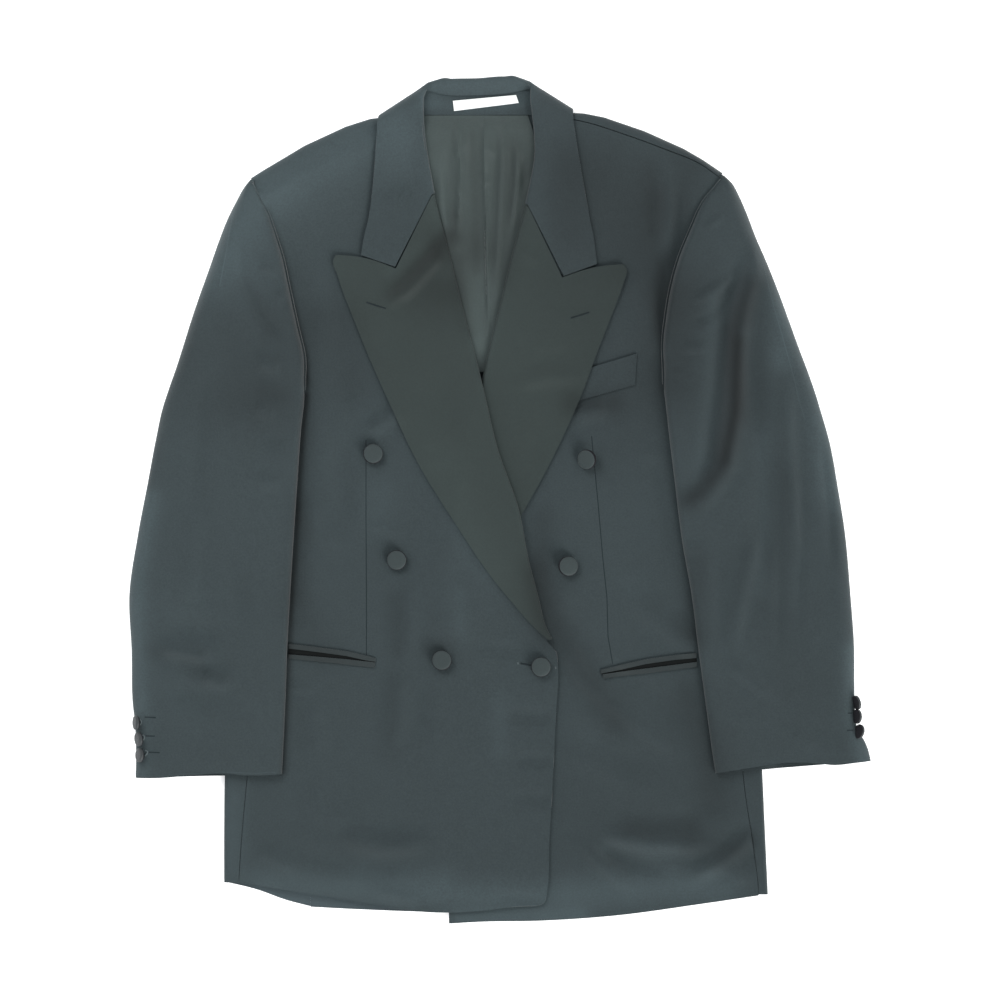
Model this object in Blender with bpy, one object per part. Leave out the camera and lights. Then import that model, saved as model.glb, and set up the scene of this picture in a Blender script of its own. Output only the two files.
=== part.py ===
"""Double-breasted dinner jacket with peak lapels, laid flat on its back with its front up.

Every piece of cloth is a closed wall of its own. Tables and sizes are in millimetres: X runs across the
jacket, Y from the hem to the collar and Z up from the surface it lies on. "Left" and "right" are those of
someone who looks down on it. The left front laps over the right one.
"""

import math

import bpy
import numpy as np
from mathutils import Vector
from mathutils.bvhtree import BVHTree

MM = 0.001

# Walls of cloth.
FRONT_WALL = 2.4
BACK_WALL = 1.6
SLEEVE_WALL = 1.8
COLLAR_WALL = 2.2
STAND_WALL = 1.6
LINING_WALL = 1.0

# Air between the pieces.
SEAM_GAP = 0.5
SHOULDER_SEAM_GAP = 0.8
CAP_SEAM_GAP = 0.7
LAY_GAP = 0.4
BODY_GAP = 3.0

# Heights above the surface.
FRONT_TOP = BACK_WALL + BODY_GAP + FRONT_WALL
SHOULDER_RISE_AT_SLEEVE = 11.0
SHOULDER_RISE_AT_NECK = 5.0
SHOULDER_SLOPE_LENGTH = 120.0
SHOULDER_LEVEL_LENGTH = 12.0
PAD_SHARE = 0.9
NECK_LIFT = COLLAR_WALL + 2 * LAY_GAP

# Places that several pieces share.
NECK_CENTRE_X = -22.0
NECK_SEAM_Y = 385.0
ROLL_LIFT = 1.4
ROLL_LIFT_FADE = 22.0
ROLL_RADIUS = FRONT_WALL + (LAY_GAP + ROLL_LIFT) / 2
LEAST_ROLL_RADIUS = 0.15
ROLL_WIDTH_SHARE = 0.48

# Across the jacket from the centre of the neck: where the pad starts to lift the front, and over how far.
PAD_START = 60.0
PAD_RUN = 160.0
# The pad thins out before the shoulder's fold: this far short of it, over this length.
PAD_END = 8.0
PAD_END_FADE = 22.0
# The collar under the back lifts it this far across from the centre of the neck, and from this line up.
LIFT_REACH = 152.0
LIFT_START_Y = 322.0
LIFT_FADE = 40.0

# Distances between the rows of points along each kind of piece.
ROW_STEP = 30.0
BACK_STEP = 60.0
SIDE_STEP = 40.0
LINING_STEP = 26.0
COLLAR_STEP = 22.0
SLEEVE_STEP = 34.0

# How far round each point a piece looks for what holds it up.
OVER_REACH = 19.0
LAPEL_REACH = 10.0
LAPEL_CLEAR_REACH = 9.0
COLLAR_REACH = 8.0
LINING_REACH = 5.0
TRIM_REACH = 4.0
LABEL_REACH = 2.0
RAY_HEIGHT = 100.0

# Shoulder outline as (x, y), from the sleeve to the neck.
SHOULDER_LEFT = ((-256, 314), (-250, 320), (-230, 333), (-190, 357), (-150, 375.5), (-126, 383),
                 (-112, 384), (-85, 395))
SHOULDER_RIGHT = ((233, 316), (220, 328), (200, 341.5), (180, 353), (140, 371), (100, 384.7), (80, 388.5),
                  (68, 388.5), (42, 397))

# Armhole seams as (x, y), from the underarm to the shoulder.
ARMHOLE_LEFT = ((-194, 115), (-195, 143), (-201, 170), (-206.3, 194), (-211.4, 218), (-216.6, 242),
                (-223.5, 264.4), (-232, 288.5), (-242, 307.5))
ARMHOLE_RIGHT = ((163, 128), (162, 155), (164.5, 180), (170, 213), (178, 242), (189, 269), (203, 299),
                 (216, 315))

# Front that laps over: side seam or armhole end, front edge end, 1 where a roll line takes the edge's place.
OVER_ROWS = (
    # side_x, side_y, edge_x, edge_y, roll
    (-261, -382.5, 38, -405.4, 0),
    (-260.8, -379, 44.2, -402.5, 0),
    (-260.4, -372, 46.4, -394, 0),
    (-257.5, -330, 49.4, -340, 0),
    (-252.5, -275, 52.5, -285, 0),
    (-248, -210, 56, -213, 0),
    (-247, -170, 58, -170, 0),
    (-246, -152, 56, -152, 0),
    (-245.6, -140, 51.5, -141, 1),
    (-243, -90, 39.5, -100, 1),
    (-239, -20, 22, -25, 1),
    (-236, 40, 0.7, 43, 1),
    (-232, 82, -14, 99, 1),
    (-213, 96, -22, 133, 1),
    (*ARMHOLE_LEFT[0], -31.2, 169, 1),
    (*ARMHOLE_LEFT[1], -39, 200, 1),
    (*ARMHOLE_LEFT[2], -47, 232, 1),
    (*ARMHOLE_LEFT[4], -58.5, 275, 1),
    (*ARMHOLE_LEFT[6], -67.5, 316, 1),
    (*ARMHOLE_LEFT[7], -74, 350, 1),
    (*ARMHOLE_LEFT[8], -77, 389, 1),
)

# Front that lies under: its edge is hidden below the other front.
UNDER_ROWS = (
    # side_x, side_y, edge_x, edge_y, roll
    (258.6, -395.5, -51, -423.6, 0),
    (257.5, -380, -51.5, -400, 0),
    (251.4, -336, -54, -340, 0),
    (243.4, -280, -57, -280, 0),
    (239, -210, -60, -210, 0),
    (236, -160, -62, -165, 0),
    (234.6, -146, -62, -150, 0),
    (234, -136, -59.5, -137, 1),
    (230, -80, -50.5, -80, 1),
    (226, -20, -40.5, -20, 1),
    (222, 45, -30, 45, 1),
    (215, 85, -22, 95, 1),
    (195, 100, -14.5, 134, 1),
    (*ARMHOLE_RIGHT[0], -6.7, 169, 1),
    (*ARMHOLE_RIGHT[1], 1.4, 201, 1),
    (*ARMHOLE_RIGHT[2], 9.6, 236, 1),
    (*ARMHOLE_RIGHT[3], 18.5, 269, 1),
    (*ARMHOLE_RIGHT[4], 26.5, 297, 1),
    (*ARMHOLE_RIGHT[5], 31, 319, 1),
    (*ARMHOLE_RIGHT[6], 35, 350, 1),
    (*ARMHOLE_RIGHT[7], 34.5, 372, 1),
    (220, 321.4, 33, 391, 1),
)

# Hems as (share of the way from side to edge, how far the hem hangs below a straight line).
OVER_HEM = ((0, 0), (0.19, 5), (0.33, 8), (0.45, 11.5), (0.58, 15), (0.7, 14), (0.83, 8.5), (0.93, 2.5),
            (1, 0))
UNDER_HEM = ((0, 0), (0.2, 3.5), (0.45, 7), (0.7, 5.5), (0.9, 1), (1, 0))

# Shoulder ends as (share of the way from side to edge, how far the end rises above a straight line).
OVER_CROWN = ((0, 0), (0.12, 6), (0.3, 10), (0.5, 11), (0.72, 9), (0.9, 4.5), (1, 0))
UNDER_CROWN = ((0, 0), (0.1, 6), (0.3, 8), (0.5, 8), (0.79, 4.2), (0.93, -2), (1, -9))
HEM_FADE = 180.0
CROWN_FADE = 120.0
OVER_COLUMNS = 16
UNDER_COLUMNS = 15
OVER_ROUNDS = 8
SHOULDER_OUT_X = 0.45
SHOULDER_OUT_Y = 0.89
# Angles of the rows that go round the shoulder's fold, of the left front and of the right back.
OVER_TURN = (45, 90, 125, 157)
BACK_TURN = (32, 62, 90, 118, 146, 180)

# Lapels: roll point, outer edge point, how far the gorge draws the row down, bow of the top edge.
LAPEL_OVER_ROWS = (
    # roll_x, roll_y, edge_x, edge_y, drop, bow
    (52.5, -139, 48.5, -140, 0, 0),
    (47, -129, 38, -131, 0, 0),
    (38.5, -97, 12.5, -103, 0, 0),
    (28.8, -60, -13, -71, 0, 0),
    (19.8, -13, -41, -29, 0, 0),
    (-3, 54, -81.5, 36, 0, 0),
    (-19, 122, -111, 98, 0, 0),
    (-31.2, 169, -131, 143, 0, 0),
    (-41.4, 209, -148, 185, 2, 0),
    (-51, 248, -157, 208, 18, 0.5),
    (-58.5, 277, -163, 226, 32, 2),
    (-63, 294, -167.2, 238, 41.5, 3.5),
    (-65.8, 305.2, -164.5, 245, 45.8, 3.6),
)
LAPEL_UNDER_ROWS = (
    # roll_x, roll_y, edge_x, edge_y, drop, bow
    (-57.5, -122, -46.5, -125, 0, 0),
    (-54.5, -105, -36, -109, 0, 0),
    (-47.4, -62, -9, -68, 0, 0),
    (-39.3, -12, 18, -21, 0, 0),
    (-29, 52, 51, 39, 0, 0),
    (-18, 120, 80.5, 103, 0, 0),
    (-6.7, 169, 98, 150, 0, 0),
    (1.4, 201, 109, 178, 2, 0),
    (9.6, 236, 117.5, 200, 14, 0.5),
    (17.8, 266.5, 123.5, 217, 30, 2),
    (22, 281, 127, 229, 39, 3),
    (25.8, 294.2, 123.5, 235.7, 44.5, 3.2),
)
GORGE_SHARE = 0.45
LAPEL_SHARES = (0.0, 0.12, 0.28, GORGE_SHARE, 0.64, 0.82, 1.0)
LAPEL_CURL = (0, 45, 90, 135)
LAPEL_OVER_SLANT = 0.165
LAPEL_UNDER_SLANT = -0.205

# Collar, from the left leaf round the back of the neck to the right leaf. Where turn is 0 it lies on the
# fronts, at 90 it stands on edge round the side of the neck, and at 180 it lies under the back.
COLLAR_ROWS = (
    # roll_x, roll_y, roll_z, edge_x, edge_y, edge_z, turn, drop, leg
    (-66.3, 307, 8.6, -139.0, 244.8, 9.0, 0, 42, 0),
    (-68.8, 320, 9.0, -136.0, 263, 9.5, 0, 27, 0),
    (-72, 338, 10.0, -131.5, 281, 10.5, 0, 13, 0),
    (-75, 357, 11.2, -127.5, 310, 12.0, 0, 3, 0),
    (-77, 378, 12.4, -124.6, 345, 13.6, 0, 0, 0),
    (-77.3, 394, 12.9, -123, 368, 14.6, 0, 0, 0),
    (-77, 403, 12.6, -122.4, 378.5, 14.8, 4, 0, 0),
    (-76, 407, 11.2, -121, 383, 12.4, 45, 0, 2),
    (-73.5, 411.8, 8.6, -119.6, 384.6, 7.6, 90, 0, 4),
    (-69.5, 416.3, 5.8, -118, 383, 2.6, 135, 0, 6),
    (-62, 419.5, 4.6, -114, 377, 1.1, 176, 0, 8.5),
    (-48, 420.3, 4.3, -84, 371, 1.1, 180, 0, 9),
    (-22, 420.8, 4.2, -22, 372, 1.1, 180, 0, 9),
    (4, 422.6, 4.3, 38, 370, 1.1, 180, 0, 9),
    (18, 421.8, 4.6, 66, 374, 1.1, 176, 0, 8.5),
    (27, 417.5, 5.8, 71, 389, 2.0, 135, 0, 6),
    (31, 413.5, 8.4, 72.3, 390.3, 7.6, 90, 0, 4),
    (31.5, 408.5, 11.0, 72.8, 388.5, 12.4, 45, 0, 2),
    (31.2, 403, 12.4, 73, 383, 14.4, 4, 0, 0),
    (33, 386, 12.6, 75.5, 364, 14.2, 0, 0, 0),
    (35.3, 362, 11.8, 80.5, 333, 12.6, 0, 0, 0),
    (35.4, 344, 10.8, 85.5, 305, 11.2, 0, 5, 0),
    (32.5, 325, 9.9, 90, 280, 10.2, 0, 16, 0),
    (28.3, 306, 9.1, 94.5, 257, 9.4, 0, 32, 0),
    (26.2, 296.4, 8.6, 97.0, 236.0, 9.0, 0, 41.5, 0),
)
COLLAR_BEND = 0.5
COLLAR_SLANT = 0.035
COLLAR_ROLL_RADIUS = 2.2
COLLAR_LEAST_LEG = 0.5
COLLAR_CURL = (-90, -45, 0, 45)
COLLAR_SHARES = (0.0, 0.12, 0.3, 0.5, 0.75, 1.0)
# Below this turn, in degrees, the collar lies on the fronts.
COLLAR_ON_FRONT = 30

# Stand inside the back neck, as (x, y, z) of its underside, and the label on it.
STAND_TOP = ((-68, 407, 6.0), (-40, 404.6, 6.2), (-7, 405.4, 6.2), (23, 408.2, 6.0))
STAND_BOTTOM = ((-78, 386.2, 4.6), (-58, 385.4, 4.2), (-27, 385.2, 4.2), (10, 386.6, 4.2), (33, 385.6, 4.6))
LABEL_TOP = ((-47.1, 399.2), (16, 405.0))
LABEL_BOTTOM = ((-46, 389.0), (18.8, 397.1))
LABEL_WALL = 0.6
STAND_COLUMNS = 9
LABEL_COLUMNS = 5

# Lining in the neck opening: y, centre seam, outer ends of the left and the right half.
LINING_ROWS = (
    (384.2, -16, -77, 28),
    (365, -16, -78, 34),
    (350, -15.9, -79, 36.5),
    (330, -15.7, -79, 37),
    (300, -15.4, -76, 34),
    (255, -15, -66, 22),
    (205, -13.5, -54, 10),
    (165, -11.5, -42, 2),
    (128, -12, -33, -4),
)
LINING_CRUMPLE = 0.35
LINING_CRUMPLE_STEP = 4.6
LINING_CRUMPLE_SLANT = 60.0
LINING_SEAM_FADE = 30.0
LINING_COLUMNS = 8

# Hem of the cloth below, from the fold to the back's seam: share of the way, how far it hangs down.
SIDE_LEFT_HEM = ((0, 0), (0.35, 7), (0.7, 17.5), (1, 24))
SIDE_RIGHT_HEM = ((0, 0), (1, 4.5))
SIDE_HEM_FADE = 60.0
SIDE_FOLD = (0, 36, 72, 108, 144, 180)
SIDE_SHARES = (0.35, 0.7, 1.0)

# Side bodies: folded edge and seam to the back.
SIDE_LEFT_ROWS = (
    # y, fold_x, back_x
    (-382.5, -276, -190),
    (-330, -276, -190),
    (-275, -275.3, -190),
    (-145, -266, -188),
    (-20, -258, -186),
    (62, -256, -186),
)
SIDE_RIGHT_ROWS = (
    # y, fold_x, back_x
    (-394.5, 268, 186),
    (-330, 265, 186),
    (-275, 262.5, 186),
    (-145, 254, 184),
    (-20, 246, 180),
    (66, 244, 178),
)

# Backs: outer end (side seam, armhole) and centre seam end of each row, and the peak at the neck point.
BACK_LEFT_ROWS = (
    # outer_x, outer_y, centre_x, centre_y, peak
    (-189.5, -407, -4, -411.5, -2.5),
    (-189.5, -270, -6, -270, 0),
    (-187.5, -145, -8, -145, 0),
    (-185.5, -20, -10, -20, 0),
    (-185.5, 60, -12, 80, 0),
    (-206, 100, -13, 140, 0),
    (-208, 150, -14, 210, 0),
    (-210, 205, -16, 290, 4),
    (-222, 256, -17, 345, 12),
    (-238, 293, -18, 384.5, 23),
)
BACK_RIGHT_ROWS = (
    # outer_x, outer_y, centre_x, centre_y, peak
    (185.5, -399, -3.6, -409.5, 0),
    (185.5, -270, -5.6, -270, 0),
    (183.5, -145, -7.6, -145, 0),
    (179.5, -20, -9.6, -20, 0),
    (177.5, 60, -11.6, 80, 0),
    (180, 100, -12.6, 140, 0),
    (178, 150, -13.6, 210, 0),
    (180, 205, -15.6, 285, 4),
    (196, 262, -16.6, 335, 14),
    (220, 321, -17.6, 376.5, 28),
)
# Columns of the backs: share of the way from the outer end to the centre seam, part of the peak there.
BACK_LEFT_PEAK = ((0, 0), (0.15, 0.36), (0.3, 0.6), (0.45, 0.8), (0.6, 0.92), (0.745, 1.0), (0.87, 0.51),
                  (1, 0))
BACK_RIGHT_PEAK = ((0, 0), (0.0562, 0.13), (0.1124, 0.26), (0.2248, 0.5), (0.3371, 0.65), (0.45, 0.8),
                   (0.5623, 0.9), (0.6216, 0.93), (0.724, 0.97), (0.8, 0.42), (0.9, 0.2), (1, 0))
NECK_POINT_RIGHT_X = 46.0
NECK_EDGE_WIDTH = 8.0

# Sleeves, from the cuff to the cap: outer edge, inner edge or armhole seam, heights over the outer and the
# inner half, share of the inner edge that turns under, and where the cloth that turns under outside ends.
SLEEVE_LEFT_ROWS = (
    # outer_x, outer_y, inner_x, inner_y, outer_top, inner_top, wrap, hind_x
    (-364.6, -278, -218, -274, 10.5, 14.5, 1, -352),
    (-363.4, -264, -217.3, -262, 12.0, 15.0, 1, -351),
    (-361.8, -240, -216.2, -238, 12.0, 15.2, 1, -350),
    (-363.8, -221, -215.3, -220, 12.0, 15.4, 1, -352),
    (-367.2, -206, -214.6, -205, 12.0, 15.6, 1, -355),
    (-368.6, -150, -212.7, -150, 12.5, 16.5, 1, -356),
    (-370.9, -97, -210, -100, 13.5, 17.0, 1, -358),
    (-362.3, -35, -206, -35, 14.0, 17.5, 1, -350),
    (-352.8, 15, -202, 25, 14.5, 18.0, 1, -341),
    (-344, 62, -198.5, 74, 15.5, 18.0, 1, -300),
    (-337.5, 92, -195.5, 100, 16.5, 18.0, 0.7, -240),
    (-331, 112, -195, 118, 17.0, 18.5, 0.25, -222),
    (-324, 132, *ARMHOLE_LEFT[1], 17.5, 18.5, 0, -216),
    (-316, 157, *ARMHOLE_LEFT[2], 18.5, 18.5, 0, -215),
    (-308.5, 181, *ARMHOLE_LEFT[3], 19.5, 19.0, 0, -216),
    (-300, 206, *ARMHOLE_LEFT[4], 20.5, 19.5, 0, -219),
    (-291, 231, *ARMHOLE_LEFT[5], 21.0, 20.0, 0, -224),
    (-283, 254, *ARMHOLE_LEFT[6], 20.8, 20.2, 0, -231),
    (-273, 280, *ARMHOLE_LEFT[7], 20.2, 20.0, 0, -241),
    (-263, 300, *ARMHOLE_LEFT[8], 19.2, 19.4, 0, -251),
    (-256, 312.5, -250.6, 317.5, 17.0, 17.4, 0, -253),
)
SLEEVE_RIGHT_ROWS = (
    # outer_x, outer_y, inner_x, inner_y, outer_top, inner_top, wrap, hind_x
    (371, -261, 215.5, -273.2, 10.5, 14.5, 1, 358),
    (367, -247, 212, -253, 11.0, 14.8, 1, 352),
    (361, -239, 210.8, -244, 11.0, 15.0, 1, 346),
    (354.8, -226, 209, -228, 11.5, 15.5, 1, 343),
    (354.4, -150, 198.3, -150, 12.5, 16.5, 1, 342),
    (350.8, -97, 191.8, -97, 13.5, 17.0, 1, 338),
    (345.4, -35, 181.5, -38, 14.0, 17.5, 1, 332),
    (338.4, 10, 175, 15, 14.5, 18.0, 1, 326),
    (329.7, 58, 169.5, 60, 15.5, 18.0, 1, 300),
    (321.2, 88, 166, 92, 16.5, 18.0, 0.9, 240),
    (314.8, 109, 163.5, 112, 17.0, 18.5, 0.5, 215),
    (309.2, 125, *ARMHOLE_RIGHT[0], 17.5, 18.5, 0.1, 200),
    (299.4, 151, *ARMHOLE_RIGHT[1], 18.5, 18.5, 0, 194),
    (288.9, 180, *ARMHOLE_RIGHT[2], 19.5, 19.0, 0, 192),
    (276.7, 213, *ARMHOLE_RIGHT[3], 20.5, 19.5, 0, 196),
    (265.8, 240, *ARMHOLE_RIGHT[4], 21.0, 20.0, 0, 203),
    (256.2, 262, *ARMHOLE_RIGHT[5], 20.8, 20.2, 0, 212),
    (245.4, 290, *ARMHOLE_RIGHT[6], 20.0, 20.0, 0, 226),
    (238.2, 306, 215.5, 314, 19.0, 19.4, 0, 230),
    (232, 317, 223.5, 321.5, 17.5, 18.4, 0, 228),
)
# Hems of the top sleeves: share of the way from the outer to the inner edge, rise above a straight line.
CUFF_LEFT_HEM = ((0, 0), (0.15, -0.6), (0.33, 0.7), (0.5, 2.3), (0.62, 2.2), (0.76, -0.2), (1, 0))
CUFF_RIGHT_HEM = ((0, 0), (0.11, -0.7), (0.23, -1.2), (0.36, 2.3), (0.52, 5), (0.69, 3.8), (0.85, 1.9),
                  (1, 0))
CUFF_HEM_FADE = 30.0
CUFF_EDGE_RADIUS = 3.0
OUTER_ROUNDING = 22.0
INNER_ROUNDING = 18.0
FORE_TURN = 16.0
BODY_STEP_RAMP = 20.0
BODY_TOP_Y = 72.0
EDGE_WIDTH_SHARE = 0.3
ROUNDING_WIDTH_SHARE = 0.45
HIND_CLEARANCE = 0.6
CAP_END_INSET = 1.2
CAP_END_STEP = 0.4
EIGHTH_TURN = 0.29
# Columns of a top sleeve, as shares of the outer rounding, of the flat middle and of the inner rounding.
OUTER_SHARES = (0.0, 0.09, 0.36, 0.8)
MIDDLE_SHARES = (0.15, 0.38, 0.62, 0.85)
INNER_SHARES = (0.8, 0.36, 0.09)
FORE_EDGE = (
    # share of the edge's radius in, share of the turned cloth, share of the radius up
    (0.0, 0.0, 1.0),
    (EIGHTH_TURN, 0.0, EIGHTH_TURN),
    (1.0, 0.0, 0.0),
    (1.0, 1.0, 0.0),
)
# Columns of an under sleeve on its way up to the body's folded edge, as shares of the ramp left to go.
STEP_SHARES = (1.05, 0.75, 0.5, 0.25, 0.0)

# Soft folds: a line, its half width and its height (a trough is below 0).
FRONT_FOLDS = (
    # start_x, start_y, end_x, end_y, half_width, height
    (110, -200, 165, -232, 24, -1.4),
    (120, -172, 178, -208, 22, 1.2),
    (125, -322, 190, -338, 22, -1.4),
    (100, -352, 180, -366, 22, 1.3),
    (-93, -190, -96, -290, 26, 1.2),
    (168, 340, 160, 300, 22, 1.4),
)
SLEEVE_FOLDS = (
    # start_x, start_y, end_x, end_y, half_width, height
    (227, 225, 221, 20, 24, -3.4),
    (221, 20, 192, 5, 18, -2.2),
    (250, 170, 262, -60, 22, 2.4),
    (290, 40, 298, 130, 18, 1.4),
    (-225, 150, -236, 20, 22, -2.2),
    (-292, 130, -305, -60, 22, 1.6),
    (-322, -145, -284, -178, 16, -2.6),
    (-318, -110, -262, -125, 20, 2.0),
    (232, -132, 268, -160, 18, -2.2),
    (245, -100, 300, -130, 20, 1.8),
)

# Breast welt, hip pocket jets and darts, as (x, y) on the fronts.
WELT_TOP = ((85.5, 129.5), (92.3, 133), (137, 146.4))
WELT_BOTTOM = ((72.5, 96.0), (79.5, 99.5), (135, 115.2))
JET_LEFT_TOP = ((-211.5, -143.5), (-183, -147), (-153.5, -151), (-134.3, -155.4), (-124.1, -158.2))
JET_LEFT_MOUTH = ((-211.5, -154.4), (-183, -156.6), (-153.5, -159.2), (-134.3, -161.3), (-124.6, -162.4))
JET_LEFT_BOTTOM = ((-211.5, -158.6), (-183, -161.4), (-153.5, -164.6), (-134.3, -166.8), (-125.4, -167.8))
JET_RIGHT_TOP = ((100.8, -169.7), (121.6, -164.6), (146, -159), (174, -155), (196.5, -153))
JET_RIGHT_MOUTH = ((102.5, -174.2), (121.6, -171.6), (146, -168.4), (174, -164.9), (197, -161.8))
JET_RIGHT_BOTTOM = ((103.2, -178.6), (121.6, -176.3), (146, -173.4), (174, -170), (197, -166.8))
JET_UPPER_WIDTH = 5.0
TRIM_WALL = 1.1
WELT_GRID = (3, 6)
JET_GRID = (2, 8)

# Covered buttons.
FRONT_BUTTONS = (
    # name, x, y, tilt from flat, turn of the tilt
    ("button_left_top", -127, 46, 6, 60),
    ("button_left_middle", -103, -60, 5, 200),
    ("button_left_bottom", -58, -160.5, 6, 120),
    ("button_right_top", 88, 40.8, 28, 195),
    ("button_right_middle", 67.6, -66.3, 14, 10),
    ("button_fastened", 40.8, -167, 4, 30),
)
BUTTON_RADIUS = 10.0
BUTTON_HEIGHT = 6.0
BUTTON_SIDES = 16
BUTTON_PROFILE = (
    # share of the radius, share of the height
    (0.78, 0.0),
    (1.0, 0.3),
    (1.0, 0.52),
    (0.84, 0.84),
    (0.45, 0.98),
)
CUFF_BUTTONS = (
    # name, x, y, z of the back's middle, tilt from flat, turn of the tilt
    ("cuff_button_left_upper", -363.4, -222.6, 8.8, 66, 180),
    ("cuff_button_left_middle", -361.4, -238.8, 9.0, 62, 186),
    ("cuff_button_left_lower", -361.0, -255, 9.0, 60, 178),
    ("cuff_button_right_upper", 359.0, -203, 9.4, 118, 14),
    ("cuff_button_right_middle", 359.4, -217, 9.4, 122, 0),
    ("cuff_button_right_lower", 363.4, -231.6, 9.6, 126, -14),
)
CUFF_BUTTON_RADIUS = 7.2
CUFF_BUTTON_HEIGHT = 4.5
CUFF_BUTTON_SIDES = 12

# Finish of each cloth: colour, roughness.
WOOL = ("wool", (0.050, 0.068, 0.076), 0.85)
SATIN = ("satin", (0.053, 0.068, 0.068), 0.45)
LINING = ("lining", (0.075, 0.095, 0.095), 0.4)
TAPE = ("tape", (0.83, 0.85, 0.84), 0.7)

surfaces = {}


def clear_scene():
    for item in list(bpy.data.objects):
        bpy.data.objects.remove(item, do_unlink=True)


def smooth(share):
    """0 to 1 with level ends."""
    share = np.clip(share, 0.0, 1.0)
    return share * share * (3.0 - 2.0 * share)


def filled(table, step=ROW_STEP):
    """The rows of a table with smooth rows added between them, about one step apart."""
    rows = np.array(table, float)
    legs = np.linalg.norm(np.diff(rows[:, :2], axis=0), axis=1)
    if rows.shape[1] > 3:
        legs = np.maximum(legs, np.linalg.norm(np.diff(rows[:, 2:4], axis=0), axis=1))
    slopes = np.diff(rows, axis=0) / legs[:, None]
    tangents = np.vstack([slopes[:1], slopes])
    for i in range(1, len(rows) - 1):
        tangents[i] = (legs[i - 1] * slopes[i] + legs[i] * slopes[i - 1]) / (legs[i - 1] + legs[i])
    found = []
    for i, leg in enumerate(legs):
        count = max(1, round(leg / step))
        for k in range(count):
            t = k / count
            found.append(
                (2 * t**3 - 3 * t**2 + 1) * rows[i]
                + (t**3 - 2 * t**2 + t) * leg * tangents[i]
                + (3 * t**2 - 2 * t**3) * rows[i + 1]
                + (t**3 - t**2) * leg * tangents[i + 1]
            )
    found.append(rows[-1])
    return np.array(found)


def polyline(points, shares):
    """Points at these shares of the way along a line of points."""
    points = np.array(points, float)
    legs = np.linalg.norm(np.diff(points, axis=0), axis=1)
    at = np.concatenate([[0.0], np.cumsum(legs)]) / legs.sum()
    return np.stack([np.interp(shares, at, column) for column in points.T], axis=-1)


def shoulder_y(x):
    """Height of the shoulder outline in plan at x."""
    left = np.array(SHOULDER_LEFT, float)
    right = np.array(SHOULDER_RIGHT[::-1], float)
    line = np.concatenate([left, right])
    return np.interp(x, line[:, 0], line[:, 1])


def shoulder_rise(x, y):
    """How far the padded shoulder lifts the front above its level lower down."""
    out = np.clip((np.abs(x - NECK_CENTRE_X) - PAD_START) / PAD_RUN, 0.0, 1.0)
    most = SHOULDER_RISE_AT_NECK + (SHOULDER_RISE_AT_SLEEVE - SHOULDER_RISE_AT_NECK) * out
    start = shoulder_y(x) - SHOULDER_SLOPE_LENGTH
    return most * smooth((y - start) / (SHOULDER_SLOPE_LENGTH - SHOULDER_LEVEL_LENGTH))


def neck_lift(x, y):
    """How far the collar that lies under the back lifts it."""
    across = smooth((LIFT_REACH - np.abs(x - NECK_CENTRE_X)) / LIFT_FADE)
    return NECK_LIFT * across * smooth((y - LIFT_START_Y) / LIFT_FADE)


def folds(x, y, table):
    """Height of the soft folds of this table."""
    height = np.zeros_like(x)
    for start_x, start_y, end_x, end_y, half_width, most in table:
        run_x = end_x - start_x
        run_y = end_y - start_y
        share = ((x - start_x) * run_x + (y - start_y) * run_y) / (run_x**2 + run_y**2)
        near = np.clip(share, 0.0, 1.0)
        distance = np.hypot(x - start_x - near * run_x, y - start_y - near * run_y)
        height += most * np.exp(-((distance / half_width) ** 2))
    return height


def front_top(x, y):
    return FRONT_TOP + shoulder_rise(x, y)


def pad(x, y):
    """Thickness that the shoulder pad adds to the wall, thinned out before the shoulder's fold."""
    return PAD_SHARE * shoulder_rise(x, y) * smooth((shoulder_y(x) - PAD_END - y) / PAD_END_FADE)


def finish_of(cloth):
    name, colour, roughness = cloth
    material = bpy.data.materials.get(name)
    if material is None:
        material = bpy.data.materials.new(name)
        material.use_nodes = True
        shader = material.node_tree.nodes["Principled BSDF"]
        shader.inputs["Base Color"].default_value = (*colour, 1.0)
        shader.inputs["Roughness"].default_value = roughness
        shader.inputs["Metallic"].default_value = 0.0
        material.diffuse_color = (*colour, 1.0)
    return material


def piece(name, points, faces, cloth):
    """An object of triangles that face out, with its surface kept for what is laid on it."""
    points = np.array(points, float)
    faces = np.array(faces, int)
    corners = points[faces]
    volume = np.einsum("ij,ij->i", corners[:, 0], np.cross(corners[:, 1], corners[:, 2])).sum()
    if volume < 0:
        faces = faces[:, ::-1]
    mesh = bpy.data.meshes.new(name)
    mesh.from_pydata((points * MM).tolist(), [], faces.tolist())
    mesh.shade_smooth()
    mesh.set_sharp_from_angle(angle=math.radians(50))
    mesh.materials.append(finish_of(cloth))
    made = bpy.data.objects.new(name, mesh)
    bpy.context.scene.collection.objects.link(made)
    surfaces[name] = BVHTree.FromPolygons(points.tolist(), faces.tolist())
    return made


def wall(name, outer, inner, cloth):
    """A closed wall between two grids of points, rows by columns."""
    rows, columns = outer.shape[:2]
    count = rows * columns
    faces = []
    for row in range(rows - 1):
        for column in range(columns - 1):
            a = row * columns + column
            b = a + 1
            c = a + columns + 1
            d = a + columns
            faces += [(a, b, c), (a, c, d)]
            faces += [(count + a, count + c, count + b), (count + a, count + d, count + c)]
    first = list(range(columns))
    last = [(rows - 1) * columns + c for c in range(columns)]
    right = [r * columns + columns - 1 for r in range(rows)]
    left = [r * columns for r in range(rows)]
    rim = first[:-1] + right[:-1] + last[:0:-1] + left[:0:-1]
    for a, b in zip(rim, rim[1:] + rim[:1]):
        faces += [(a, count + b, b), (a, count + a, count + b)]
    points = np.concatenate([outer.reshape(-1, 3), inner.reshape(-1, 3)])
    return piece(name, points, faces, cloth)


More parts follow.
